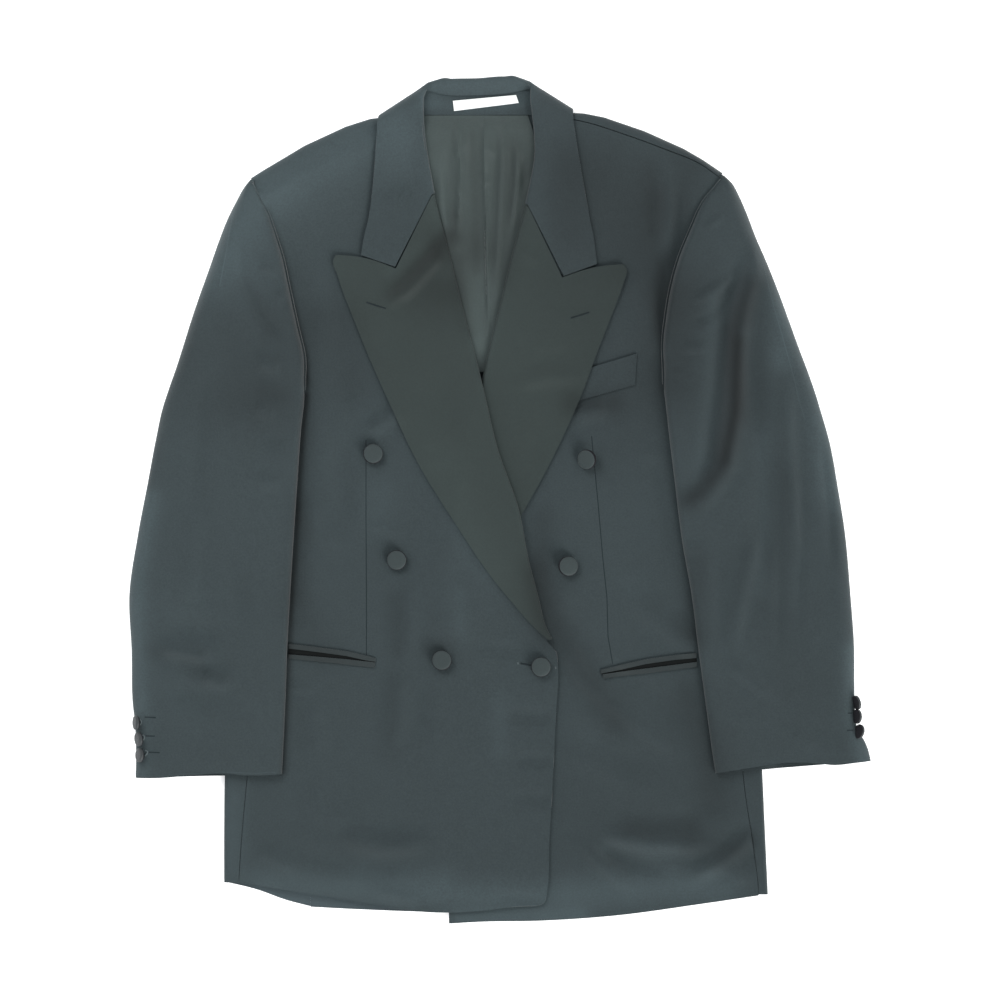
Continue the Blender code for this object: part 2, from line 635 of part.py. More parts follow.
def facing(grid):
    """Unit normals of a grid, turned so that on the whole they point up."""
    normals = np.cross(np.gradient(grid, axis=1), np.gradient(grid, axis=0))
    normals /= np.maximum(np.linalg.norm(normals, axis=2, keepdims=True), 1e-9)
    return normals if normals[..., 2].sum() > 0 else -normals


def thickened(outer, thickness):
    """The inner grid of a wall with this outer grid."""
    return outer - facing(outer) * np.broadcast_to(thickness, outer.shape[:2])[..., None]


def support(x, y, below, reach=0.0):
    """Highest point of the pieces below, under each place and within reach of it."""
    turns = np.linspace(0.0, 2 * math.pi, 9)[:8]
    moves = [(0.0, 0.0)]
    for far in (reach / 2, reach) if reach else ():
        moves += [(far * math.cos(a), far * math.sin(a)) for a in turns]
    down = Vector((0, 0, -1))
    found = np.full(x.shape, -1.0)
    for index in np.ndindex(x.shape):
        for move_x, move_y in moves:
            start = Vector((x[index] + move_x, y[index] + move_y, RAY_HEIGHT))
            for name in below:
                hit = surfaces[name].ray_cast(start, down)[0]
                if hit is not None and hit.z > found[index]:
                    found[index] = hit.z
    return found


def draped(low, rounds):
    """Heights of cloth drawn taut over what holds it up, never below low."""
    height = low.copy()
    for _ in range(rounds):
        padded = np.pad(height, 1, mode="edge")
        mean = (padded[:-2, 1:-1] + padded[2:, 1:-1] + padded[1:-1, :-2] + padded[1:-1, 2:]) / 4
        height = np.maximum(low, mean)
    return height


def between(start, end, shares):
    """Rows of points from start to end, at these shares of the way."""
    return start[:, None, :] + (end - start)[:, None, :] * np.asarray(shares)[None, :, None]


def shoulder_turn(row, outline, low, angles):
    """Rows that carry a shoulder edge round its fold and under it."""
    found = []
    for angle in angles:
        a = math.radians(angle)
        ring = row.copy()
        ring[:, :2] = row[:, :2] + (outline - row[:, :2]) * math.sin(a)
        middle = (row[:, 2] + low) / 2
        ring[:, 2] = middle + (row[:, 2] - middle) * math.cos(a)
        found.append(ring)
    return np.array(found)


def front_plan(table, rolls, hem, crown, columns):
    """Plan of a front, rows from the hem up and columns from the side to the edge or the lapel's roll."""
    rows = filled(table)
    side = rows[:, 0:2]
    edge = rows[:, 2:4]
    line = filled(rolls)[:, 0:2]
    on_roll = (rows[:, 4] > 0.5) & (edge[:, 1] > line[0, 1]) & (edge[:, 1] < line[-1, 1])
    edge[on_roll, 0] = np.interp(edge[on_roll, 1], line[:, 1], line[:, 0])
    inward = side - edge
    inward /= np.linalg.norm(inward, axis=1, keepdims=True)
    edge = edge + inward * (np.clip(rows[:, 4:5], 0.0, 1.0) * (ROLL_RADIUS + 2 * SEAM_GAP))
    shares = np.linspace(0.0, 1.0, columns)
    plan = between(side, edge, shares)
    sag = np.interp(shares, *np.array(hem, float).T)
    rise = np.interp(shares, *np.array(crown, float).T)
    middle = rows[:, [1, 3]].mean(axis=1)
    near_hem = smooth(1.0 - (middle - middle[0]) / HEM_FADE)
    near_shoulder = smooth(1.0 - (middle[-1] - middle) / CROWN_FADE)
    plan[..., 1] += near_shoulder[:, None] * rise[None, :] - near_hem[:, None] * sag[None, :]
    return plan


def make_front_under():
    plan = front_plan(UNDER_ROWS, LAPEL_UNDER_ROWS, UNDER_HEM, UNDER_CROWN, UNDER_COLUMNS)
    x, y = plan[..., 0], plan[..., 1]
    outer = np.dstack([plan, front_top(x, y) + folds(x, y, FRONT_FOLDS)])
    wall("front_under", outer, thickened(outer, FRONT_WALL + pad(x, y)), WOOL)


def make_front_over():
    """The lapped front rests on the other one, and its shoulder end turns down round the shoulder's fold."""
    plan = front_plan(OVER_ROWS, LAPEL_OVER_ROWS, OVER_HEM, OVER_CROWN, OVER_COLUMNS)
    x, y = plan[..., 0], plan[..., 1]
    thickness = FRONT_WALL + pad(x, y)
    level = front_top(x, y) - thickness
    held = support(x, y, ["front_under", "lapel_under"], OVER_REACH) + LAY_GAP
    bottom = draped(np.maximum(level, held), OVER_ROUNDS)
    outer = np.dstack([plan, bottom + thickness + folds(x, y, FRONT_FOLDS)])
    top = outer[-1]
    outward = (shoulder_y(top[:, 0]) - top[:, 1]) / (SHOULDER_OUT_Y + 0.5 * SHOULDER_OUT_X)
    outline = top[:, :2] + outward[:, None] * np.array([-SHOULDER_OUT_X, SHOULDER_OUT_Y])
    low = neck_lift(top[:, 0], top[:, 1]) + LAY_GAP
    turned = shoulder_turn(top, outline, low, OVER_TURN)
    outer = np.concatenate([outer, turned])
    thickness = np.concatenate([thickness, np.full(turned.shape[:2], BACK_WALL)])
    wall("front_over", outer, thickened(outer, thickness), WOOL)


def make_lapel(name, table, under, slant, clear_of=()):
    """A lapel: its roll curls up from the front's edge, and the rest lies on the front."""
    rows = filled(table)
    roll = rows[:, 0:2]
    edge = rows[:, 2:4]
    drop = rows[:, 4]
    bow = rows[:, 5]
    width = np.linalg.norm(edge - roll, axis=1)
    inward = (edge - roll) / width[:, None]
    radius = np.minimum(ROLL_RADIUS, width * ROLL_WIDTH_SHARE)
    shares = np.array(LAPEL_SHARES)
    start = (radius / width)[:, None]
    run = start + (1.0 - start) * shares[None, :]
    plan = roll[:, None, :] + (edge - roll)[:, None, :] * run[..., None]
    kink = np.interp(shares, [0.0, GORGE_SHARE, 1.0], [0.0, 1.0, 0.0])
    plan[..., 0] += slant * drop[:, None] * kink
    plan[..., 1] -= drop[:, None] * kink
    outside = np.clip((shares - GORGE_SHARE) / (1.0 - GORGE_SHARE), 0.0, 1.0)
    plan[..., 1] += bow[:, None] * np.sin(math.pi * outside)
    x, y = plan[..., 0], plan[..., 1]
    held = support(x, y, under, LAPEL_REACH)
    lift = ROLL_LIFT * np.exp(-((run * width[:, None] - radius[:, None]) / ROLL_LIFT_FADE))
    bottom = draped(held + LAY_GAP + lift, 1)
    if clear_of:
        inside = roll + inward * radius[:, None]
        lowest = support(inside[:, 0], inside[:, 1], clear_of, LAPEL_CLEAR_REACH) + LAY_GAP
        bottom[:, 0] = np.maximum(bottom[:, 0], lowest + 2 * radius - FRONT_WALL)
    flat_outer = np.dstack([plan, bottom + FRONT_WALL])
    flat_inner = np.dstack([plan, bottom])
    centre = flat_outer[:, 0, 2] - radius
    curls = []
    for far in (radius, np.maximum(radius - FRONT_WALL, LEAST_ROLL_RADIUS)):
        rings = []
        for angle in LAPEL_CURL:
            a = math.radians(angle)
            across = roll + inward * (radius - far * math.sin(a))[:, None]
            rings.append(np.column_stack([across, centre - far * math.cos(a)]))
        curls.append(np.stack(rings, axis=1))
    outer = np.concatenate([curls[0], flat_outer], axis=1)
    inner = np.concatenate([curls[1], flat_inner], axis=1)
    wall(name, outer, inner, SATIN)


def back_plan(table, peak):
    rows = filled(table, BACK_STEP)
    shares, parts = np.array(peak, float).T
    plan = between(rows[:, 0:2], rows[:, 2:4], shares)
    plan[..., 1] += rows[:, 4:5] * parts
    return plan


def make_back_left():
    """It ends just short of the front's shoulder edge, which turns under to meet it."""
    plan = back_plan(BACK_LEFT_ROWS, BACK_LEFT_PEAK)
    bottom = neck_lift(plan[..., 0], plan[..., 1])
    wall("back_left", np.dstack([plan, bottom]), np.dstack([plan, bottom + BACK_WALL]), WOOL)


def make_back_right():
    """Its shoulder end turns up round the shoulder's fold, to the seam that shows on the front side."""
    plan = back_plan(BACK_RIGHT_ROWS, BACK_RIGHT_PEAK)
    front_end = front_plan(UNDER_ROWS, LAPEL_UNDER_ROWS, UNDER_HEM, UNDER_CROWN, UNDER_COLUMNS)[-1, ::-1]
    at_seam = plan[-1, :, 0] > NECK_POINT_RIGHT_X
    seam_y = np.interp(plan[-1, at_seam, 0], front_end[:, 0], front_end[:, 1])
    plan[-1, at_seam, 1] = seam_y + SHOULDER_SEAM_GAP
    flat = np.dstack([plan, neck_lift(plan[..., 0], plan[..., 1])])
    last = flat[-1]
    outward = (shoulder_y(last[:, 0]) - last[:, 1]) / (SHOULDER_OUT_Y + 0.5 * SHOULDER_OUT_X)
    outline = last[:, :2] + outward[:, None] * np.array([SHOULDER_OUT_X, SHOULDER_OUT_Y])
    high = front_top(last[:, 0], last[:, 1])
    over = shoulder_turn(last, outline, high, BACK_TURN)
    for number, ring in enumerate(over, 1):
        ring[~at_seam] = last[~at_seam]
        ring[~at_seam, 1] += NECK_EDGE_WIDTH * number / len(over)
    outer = np.concatenate([flat, over])
    normals = np.cross(np.gradient(outer, axis=1), np.gradient(outer, axis=0))
    normals /= np.linalg.norm(normals, axis=2, keepdims=True)
    if normals[: len(flat), :, 2].sum() > 0:
        normals = -normals
    normals[-1, at_seam] = (0.0, 0.0, 1.0)
    wall("back_right", outer, outer - normals * BACK_WALL, WOOL)


def make_side(side, name, table, hem, front_table):
    """A side body, folded round the edge of the jacket's body. Its seam follows the front's side."""
    share_at, hang_at = np.array(hem, float).T
    y, fold, back = filled([(row[0], 0, *row) for row in table], SIDE_STEP)[:, 2:].T
    front = filled(front_table)
    seam = np.interp(y, front[:, 1], front[:, 0]) + side * SEAM_GAP
    back = back + side * SEAM_GAP
    grids = []
    middle = FRONT_TOP / 2
    centre = fold - side * middle
    for far in (middle, middle - BACK_WALL):
        grid = [np.column_stack([seam, y, np.full_like(y, middle + far)])]
        for angle in SIDE_FOLD:
            a = math.radians(angle)
            height = np.full_like(y, middle + far * math.cos(a))
            grid.append(np.column_stack([centre + side * far * math.sin(a), y, height]))
        low = np.full_like(y, middle - far)
        for share in SIDE_SHARES:
            hang = np.interp(share, share_at, hang_at) * smooth(1.0 - (y - y[0]) / SIDE_HEM_FADE)
            grid.append(np.column_stack([centre + (back - centre) * share, y - hang, low]))
        grids.append(np.stack(grid, axis=1))
    wall(name, *grids, WOOL)


def make_lining():
    """Two halves of the lining, gathered a little, in the opening of the neck."""
    for side, name in ((-1, "lining_left"), (1, "lining_right")):
        rows = filled(LINING_ROWS, LINING_STEP)
        seam = rows[:, 1] + side * SEAM_GAP / 2
        edge = rows[:, 2] if side < 0 else rows[:, 3]
        shares = np.linspace(0.0, 1.0, LINING_COLUMNS)
        x = seam[:, None] + (edge - seam)[:, None] * shares[None, :]
        y = np.repeat(rows[:, :1], len(shares), axis=1)
        wave = 1.0 + np.sin(x / LINING_CRUMPLE_STEP + y / LINING_CRUMPLE_SLANT)
        crumple = LINING_CRUMPLE * wave * smooth(shares * 5)[None, :]
        bottom = support(x, y, ["back_left", "back_right"], LINING_REACH) + LAY_GAP
        bottom = bottom + crumple * smooth((NECK_SEAM_Y - y) / LINING_SEAM_FADE)
        wall(name, np.dstack([x, y, bottom + LINING_WALL]), np.dstack([x, y, bottom]), LINING)


def make_collar():
    """The collar, in sections across it: what is inside the neck, the roll, and the leaf or fall."""
    rows = filled(COLLAR_ROWS, COLLAR_STEP)
    roll, edge = rows[:, 0:3], rows[:, 3:6]
    turn = np.radians(np.clip(rows[:, 6], 0.0, 180.0))
    drop = np.clip(rows[:, 7], 0.0, None)
    leg = np.clip(rows[:, 8], COLLAR_LEAST_LEG, None)
    flat = edge[:, :2] - roll[:, :2]
    width = np.linalg.norm(flat, axis=1)
    along = np.column_stack([flat / width[:, None], np.zeros(len(rows))])
    outward = np.column_stack([along[:, 1], -along[:, 0], np.zeros(len(rows))])
    outward *= np.sign(outward[:, 1])[:, None]
    across = outward * np.sin(turn)[:, None] + np.array([0, 0, 1]) * np.cos(turn)[:, None]
    far = COLLAR_ROLL_RADIUS
    centre = roll + along * far
    grid = [centre + along * leg[:, None] - across * far]
    for angle in COLLAR_CURL:
        a = math.radians(angle)
        grid.append(centre - along * far * math.cos(a) + across * far * math.sin(a))
    leaf = []
    for share in COLLAR_SHARES:
        start = centre + across * far
        point = start + (edge - start) * share
        kink = np.interp(share, [0.0, COLLAR_BEND, 1.0], [0.0, 1.0, 0.0])
        point[:, 0] += COLLAR_SLANT * drop * kink * np.sign(point[:, 0])
        point[:, 1] -= drop * kink
        leaf.append(point)
    leaf = np.stack(leaf, axis=1)
    on_front = rows[:, 6] < COLLAR_ON_FRONT
    x, y = leaf[on_front, :, 0], leaf[on_front, :, 1]
    held = support(x, y, ["front_over", "front_under", "back_right"], COLLAR_REACH)
    lowest = held + 2 * LAY_GAP + COLLAR_WALL / 2
    leaf[on_front, :, 2] = np.maximum(leaf[on_front, :, 2], lowest)
    grid = np.concatenate([np.stack(grid, axis=1), leaf], axis=1)
    normals = np.cross(np.gradient(grid, axis=1), np.gradient(grid, axis=0))
    normals /= np.linalg.norm(normals, axis=2, keepdims=True)
    half = normals * COLLAR_WALL / 2
    wall("collar", grid + half, grid - half, WOOL)


def make_stand_and_label():
    shares = np.linspace(0.0, 1.0, STAND_COLUMNS)
    top = polyline(STAND_TOP, shares)
    bottom = polyline(STAND_BOTTOM, shares)
    grid = np.stack([bottom, (bottom + top) / 2, top])
    outer = grid.copy()
    outer[..., 2] += STAND_WALL
    wall("collar_stand", outer, grid, WOOL)
    shares = np.linspace(0.0, 1.0, LABEL_COLUMNS)
    plan = np.stack([polyline(LABEL_BOTTOM, shares), polyline(LABEL_TOP, shares)])
    held = support(plan[..., 0], plan[..., 1], ["collar_stand"], LABEL_REACH) + SEAM_GAP / 2
    wall("neck_label", np.dstack([plan, held + LABEL_WALL]), np.dstack([plan, held]), TAPE)


def body_step(side, x, y, table):
    """Height of the sleeve's underside where it climbs from the surface onto the body's folded edge."""
    rows = np.array(sorted(table), float)
    fold = np.interp(y, rows[:, 0], rows[:, 1])
    outside = np.maximum(side * (x - fold), 0.0)
    return (FRONT_TOP + LAY_GAP) * smooth(1.0 - outside / BODY_STEP_RAMP)


def make_sleeve(side, word, table, hem, body_table):
    """Top sleeve and under sleeve. The top sleeve turns under at both edges."""
    share_at, rise_at = np.array(hem, float).T
    rows = filled(table, SLEEVE_STEP)
    outer_end = rows[:, 0:2]
    inner_end = rows[:, 2:4]
    outer_top, inner_top, wrap, hind_x = rows[:, 4:8].T
    along = inner_end - outer_end
    width = np.linalg.norm(along, axis=1)
    along /= width[:, None]
    wrap = smooth(wrap)
    width = width - CAP_SEAM_GAP * (1.0 - wrap)
    seam_top = front_top(inner_end[:, 0], inner_end[:, 1])
    radius = np.minimum(CUFF_EDGE_RADIUS, width * EDGE_WIDTH_SHARE)
    lap_top = FRONT_TOP + LAY_GAP
    end_top = seam_top + (lap_top + radius - seam_top) * smooth(wrap * 3)
    hind = np.abs((hind_x - outer_end[:, 0]) / along[:, 0])
    hind = np.minimum(hind, width - HIND_CLEARANCE)
    outer_round = np.minimum(OUTER_ROUNDING, width * ROUNDING_WIDTH_SHARE)
    inner_round = np.minimum(INNER_ROUNDING, width * ROUNDING_WIDTH_SHARE)

    def height(at):
        share = smooth(at / width)
        level = outer_top + (inner_top - outer_top) * share
        rise = np.sqrt(np.clip(1.0 - np.clip(1.0 - at / outer_round, 0, 1) ** 2, 0, 1))
        from_end = np.clip(1.0 - (width - at) / inner_round, 0, 1)
        fall = np.sqrt(np.clip(1.0 - from_end**2, 0, 1))
        return radius + (level - radius) * rise - (level - end_top) * (1.0 - fall)

    near_hem = smooth(1.0 - (outer_end[:, 1] - outer_end[0, 1]) / CUFF_HEM_FADE)

    def section(at, z):
        plan = outer_end + along * at[:, None]
        plan[:, 1] += np.interp(at / width, share_at, rise_at) * near_hem
        return np.column_stack([plan, z])

    grid = [section(hind, 0 * hind), section((hind + radius) / 2, 0 * hind), section(radius, 0 * hind)]
    grid.append(section(radius * EIGHTH_TURN, radius * EIGHTH_TURN))
    bare = len(grid) + 1
    for share in OUTER_SHARES:
        at = outer_round * share
        grid.append(section(at, height(at)))
    for share in MIDDLE_SHARES:
        at = outer_round + (width - outer_round - inner_round) * share
        grid.append(section(at, height(at)))
    for share in INNER_SHARES:
        at = width - inner_round * share
        grid.append(section(at, height(at)))
    for number, (inset, run, part) in enumerate(FORE_EDGE):
        at = width - inset * radius - run * FORE_TURN
        z = lap_top + radius * part
        flat_at = width - CAP_END_INSET + CAP_END_STEP * number
        at = flat_at + (at - flat_at) * wrap
        z = height(np.minimum(flat_at, width)) * (1.0 - wrap) + z * wrap
        grid.append(section(at, z))
    outer = np.stack(grid, axis=1)
    relief = folds(outer[..., 0], outer[..., 1], SLEEVE_FOLDS)
    relief[:, :bare] = 0.0
    relief[:, -bare:] = 0.0
    outer[..., 2] += relief
    normals = np.cross(np.gradient(outer, axis=1), np.gradient(outer, axis=0))
    normals /= np.maximum(np.linalg.norm(normals, axis=2, keepdims=True), 1e-9)
    if normals[:, outer.shape[1] // 2, 2].sum() < 0:
        normals = -normals
    inner = outer - normals * SLEEVE_WALL
    wall(f"sleeve_{word}_top", outer, inner, WOOL)

    keep = rows[:, 3] <= BODY_TOP_Y
    hind_at = hind[keep] + SEAM_GAP
    fore_at = width[keep] - radius[keep] - FORE_TURN - SEAM_GAP
    body = np.array(sorted(body_table), float)
    fold_x = np.interp(outer_end[keep, 1], body[:, 0], body[:, 1])
    fold_at = np.abs((fold_x - outer_end[keep, 0]) / along[keep, 0])
    step = [fold_at - BODY_STEP_RAMP * share for share in STEP_SHARES]
    places = [hind_at, (hind_at + step[0]) / 2, *step, (fold_at + fore_at) / 2, fore_at]
    under = []
    for at in places:
        plan = outer_end[keep] + along[keep] * at[:, None]
        under.append(np.column_stack([plan, body_step(side, plan[:, 0], plan[:, 1], body_table)]))
    bottom = np.stack(under, axis=1)
    top = bottom.copy()
    top[..., 2] += SLEEVE_WALL
    wall(f"sleeve_{word}_under", bottom, top, WOOL)


def make_trim(name, top_line, bottom_line, under, grid, cloth):
    """A strip between two lines, laid on the piece under it."""
    rows, columns = grid
    shares = np.linspace(0.0, 1.0, columns)
    top = polyline(top_line, shares)
    bottom = polyline(bottom_line, shares)
    plan = np.stack([bottom + (top - bottom) * share for share in np.linspace(0.0, 1.0, rows)])
    low = support(plan[..., 0], plan[..., 1], [under], TRIM_REACH) + LAY_GAP
    wall(name, np.dstack([plan, low + TRIM_WALL]), np.dstack([plan, low]), cloth)


def upper_jet_bottom(top_line, mouth):
    """Lower edge of an upper jet: its width below the top line, or just above the mouth's lower edge."""
    return [(x, max(y - JET_UPPER_WIDTH, low + SEAM_GAP)) for (x, y), (_, low) in zip(top_line, mouth)]


def button_mesh(name, radius, height, sides):
    """Covered button, domed above and flat below, its back at z = 0."""
    points = [(0.0, 0.0, 0.0)]
    for share, level in BUTTON_PROFILE:
        for k in range(sides):
            a = 2 * math.pi * k / sides
            points.append((radius * share * math.cos(a), radius * share * math.sin(a), height * level))
    points.append((0.0, 0.0, height))
    faces = []
    for k in range(sides):
        after = (k + 1) % sides
        faces.append((0, 1 + after, 1 + k))
        for ring in range(len(BUTTON_PROFILE) - 1):
            a = 1 + ring * sides
            b = a + sides
            faces += [(a + k, a + after, b + after), (a + k, b + after, b + k)]
        last = 1 + (len(BUTTON_PROFILE) - 1) * sides
        faces.append((last + k, last + after, len(points) - 1))
    mesh = bpy.data.meshes.new(name)
    mesh.from_pydata([[v * MM for v in p] for p in points], [], faces)
    mesh.shade_smooth()
    mesh.materials.append(finish_of(SATIN))
    return mesh


def make_buttons():
    mesh = button_mesh("covered_button", BUTTON_RADIUS, BUTTON_HEIGHT, BUTTON_SIDES)
    fronts = ["front_over", "front_under"]
    for name, x, y, tilt, turn in FRONT_BUTTONS:
        made = bpy.data.objects.new(name, mesh)
        held = support(np.array([x], float), np.array([y], float), fronts, BUTTON_RADIUS)[0]
        lift = BUTTON_RADIUS * abs(math.sin(math.radians(tilt)))
        made.location = (x * MM, y * MM, (held + LAY_GAP + lift) * MM)
        made.rotation_euler = (0.0, math.radians(tilt), math.radians(turn))
        bpy.context.scene.collection.objects.link(made)
    mesh = button_mesh("cuff_button", CUFF_BUTTON_RADIUS, CUFF_BUTTON_HEIGHT, CUFF_BUTTON_SIDES)
    for name, x, y, z, tilt, turn in CUFF_BUTTONS:
        made = bpy.data.objects.new(name, mesh)
        made.location = (x * MM, y * MM, z * MM)
        made.rotation_euler = (0.0, math.radians(tilt), math.radians(turn))
        bpy.context.scene.collection.objects.link(made)


clear_scene()
make_back_left()
make_back_right()
make_lining()
make_side(-1, "side_left", SIDE_LEFT_ROWS, SIDE_LEFT_HEM, OVER_ROWS)
make_side(1, "side_right", SIDE_RIGHT_ROWS, SIDE_RIGHT_HEM, UNDER_ROWS)
make_front_under()
make_trim("breast_welt", WELT_TOP, WELT_BOTTOM, "front_under", WELT_GRID, WOOL)
make_lapel("lapel_under", LAPEL_UNDER_ROWS, ["front_under", "breast_welt"], LAPEL_UNDER_SLANT)
make_front_over()
make_lapel("lapel_over", LAPEL_OVER_ROWS, ["front_over"], LAPEL_OVER_SLANT, ["lapel_under", "front_under"])
make_collar()
make_stand_and_label()
make_sleeve(-1, "left", SLEEVE_LEFT_ROWS, CUFF_LEFT_HEM, SIDE_LEFT_ROWS)
make_sleeve(1, "right", SLEEVE_RIGHT_ROWS, CUFF_RIGHT_HEM, SIDE_RIGHT_ROWS)
left_jet_bottom = upper_jet_bottom(JET_LEFT_TOP, JET_LEFT_MOUTH)
make_trim("jet_left_upper", JET_LEFT_TOP, left_jet_bottom, "front_over", JET_GRID, SATIN)
make_trim("jet_left_lower", JET_LEFT_MOUTH, JET_LEFT_BOTTOM, "front_over", JET_GRID, SATIN)
right_jet_bottom = upper_jet_bottom(JET_RIGHT_TOP, JET_RIGHT_MOUTH)
make_trim("jet_right_upper", JET_RIGHT_TOP, right_jet_bottom, "front_under", JET_GRID, SATIN)
make_trim("jet_right_lower", JET_RIGHT_MOUTH, JET_RIGHT_BOTTOM, "front_under", JET_GRID, SATIN)
make_buttons()
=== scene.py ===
import math

import bpy
import numpy as np
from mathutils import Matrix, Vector
from mathutils.bvhtree import BVHTree


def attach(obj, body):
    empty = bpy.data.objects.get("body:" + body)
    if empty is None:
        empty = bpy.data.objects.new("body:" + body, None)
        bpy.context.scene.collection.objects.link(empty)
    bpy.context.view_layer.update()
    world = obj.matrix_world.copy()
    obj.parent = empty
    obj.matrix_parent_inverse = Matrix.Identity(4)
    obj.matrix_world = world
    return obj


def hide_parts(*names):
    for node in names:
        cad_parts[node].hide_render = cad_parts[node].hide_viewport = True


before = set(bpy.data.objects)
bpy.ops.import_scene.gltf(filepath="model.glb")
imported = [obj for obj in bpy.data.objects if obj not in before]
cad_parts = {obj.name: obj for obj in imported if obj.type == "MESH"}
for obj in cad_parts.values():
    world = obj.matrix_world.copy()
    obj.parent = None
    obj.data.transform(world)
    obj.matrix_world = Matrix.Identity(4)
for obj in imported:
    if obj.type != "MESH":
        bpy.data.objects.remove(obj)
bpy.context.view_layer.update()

# ------------------------------------------------------------------------------------------------------
# Backs. Two halves of fine dark worsted wool that lie flat on the table, with a seam down the middle of
# the back. The right one carries on round the shoulder's fold, to a seam that shows on the front side.
# Sizes here and below are in millimetres: X across the jacket, Y from the hem to the collar, Z up.
# ------------------------------------------------------------------------------------------------------
MM = 0.001
FRONT_WALL = 2.4
BACK_WALL = 1.6
SEAM_GAP = 0.5
LAY_GAP = 0.4
BODY_GAP = 3.0
FRONT_TOP = BACK_WALL + BODY_GAP + FRONT_WALL
COLLAR_WALL = 2.2
NECK_LIFT = COLLAR_WALL + 2 * LAY_GAP
NECK_CENTRE_X = -22.0
ROLL_LIFT = 1.4
ROLL_RADIUS = FRONT_WALL + (LAY_GAP + ROLL_LIFT) / 2
# The way straight out from a shoulder seam, in plan, and how fast it nears the sloping outline.
SHOULDER_OUT_X = 0.45
SHOULDER_OUT_Y = 0.89
SHOULDER_OUT_RATE = SHOULDER_OUT_Y + 0.5 * SHOULDER_OUT_X
# The padded shoulder starts this far out from the middle of the neck, and is this wide.
PAD_START_X = 60.0
PAD_WIDTH = 160.0
RISE_AT_SLEEVE = 11.0
RISE_AT_NECK = 5.0
SLOPE_LENGTH = 120.0
SHOULDER_LEVEL = 12.0
# The back is lifted off the table over this half width, from this height up.
NECK_LIFT_HALF = 152.0
NECK_LIFT_Y = 322.0
NECK_LIFT_SLOPE = 40.0
HEM_FADE = 180.0
CROWN_FADE = 120.0
ROW_STEP = 4.0
BACK_STEP = 15.0
BACK_LEFT_COLUMNS = 26
BACK_RIGHT_COLUMNS = 90
# Degrees between the rows that go round a shoulder's fold.
TURN_STEP = 12

# Shoulder outline as (x, y), from the sleeve to the neck.
SHOULDER_LEFT = ((-256, 314), (-250, 320), (-230, 333), (-190, 357), (-150, 375.5), (-126, 383),
                 (-112, 384), (-85, 395))
SHOULDER_RIGHT = ((233, 316), (220, 328), (200, 341.5), (180, 353), (140, 371), (100, 384.7), (80, 388.5),
                  (68, 388.5), (42, 397))
BACK_LEFT_ROWS = (
    # outer_x, outer_y, centre_x, centre_y, peak
    (-189.5, -407, -4, -411.5, -2.5),
    (-189.5, -270, -6, -270, 0),
    (-187.5, -145, -8, -145, 0),
    (-185.5, -20, -10, -20, 0),
    (-185.5, 60, -12, 80, 0),
    (-206, 100, -13, 140, 0),
    (-208, 150, -14, 210, 0),
    (-210, 205, -16, 290, 4),
    (-222, 256, -17, 345, 12),
    (-238, 293, -18, 384.5, 23),
)
BACK_RIGHT_ROWS = (
    # outer_x, outer_y, centre_x, centre_y, peak
    (185.5, -399, -3.6, -409.5, 0),
    (185.5, -270, -5.6, -270, 0),
    (183.5, -145, -7.6, -145, 0),
    (179.5, -20, -9.6, -20, 0),
    (177.5, 60, -11.6, 80, 0),
    (180, 100, -12.6, 140, 0),
    (178, 150, -13.6, 210, 0),
    (180, 205, -15.6, 285, 4),
    (196, 262, -16.6, 335, 14),
    (220, 321, -17.6, 376.5, 28),
)
# Share of the way from the outer end to the centre seam, and the part of the peak it has.
BACK_LEFT_PEAK = ((0, 0), (0.15, 0.36), (0.3, 0.6), (0.45, 0.8), (0.6, 0.92), (0.745, 1.0), (0.87, 0.51),
                  (1, 0))
BACK_RIGHT_PEAK = ((0, 0), (0.0562, 0.13), (0.1124, 0.26), (0.2248, 0.5), (0.3371, 0.65), (0.45, 0.8),
                   (0.5623, 0.9), (0.6216, 0.93), (0.724, 0.97), (0.8, 0.42), (0.9, 0.2), (1, 0))
NECK_POINT_RIGHT_X = 46.0
NECK_EDGE_WIDTH = 8.0
ARMHOLE_RIGHT = ((163, 128), (162, 155), (164.5, 180), (170, 213), (178, 242), (189, 269), (203, 299),
                 (216, 315))
UNDER_ROWS = (
    # side_x, side_y, edge_x, edge_y, 1 where the lapel's roll takes the edge's place
    (258.6, -395.5, -51, -423.6, 0),
    (257.5, -380, -51.5, -400, 0),
    (251.4, -336, -54, -340, 0),
    (243.4, -280, -57, -280, 0),
    (239, -210, -60, -210, 0),
    (236, -160, -62, -165, 0),
    (234.6, -146, -62, -150, 0),
    (234, -136, -59.5, -137, 1),
    (230, -80, -50.5, -80, 1),
    (226, -20, -40.5, -20, 1),
    (222, 45, -30, 45, 1),
    (215, 85, -22, 95, 1),
    (195, 100, -14.5, 134, 1),
    (*ARMHOLE_RIGHT[0], -6.7, 169, 1),
    (*ARMHOLE_RIGHT[1], 1.4, 201, 1),
    (*ARMHOLE_RIGHT[2], 9.6, 236, 1),
    (*ARMHOLE_RIGHT[3], 18.5, 269, 1),
    (*ARMHOLE_RIGHT[4], 26.5, 297, 1),
    (*ARMHOLE_RIGHT[5], 31, 319, 1),
    (*ARMHOLE_RIGHT[6], 35, 350, 1),
    (*ARMHOLE_RIGHT[7], 34.5, 372, 1),
    (220, 321.4, 33, 391, 1),
)
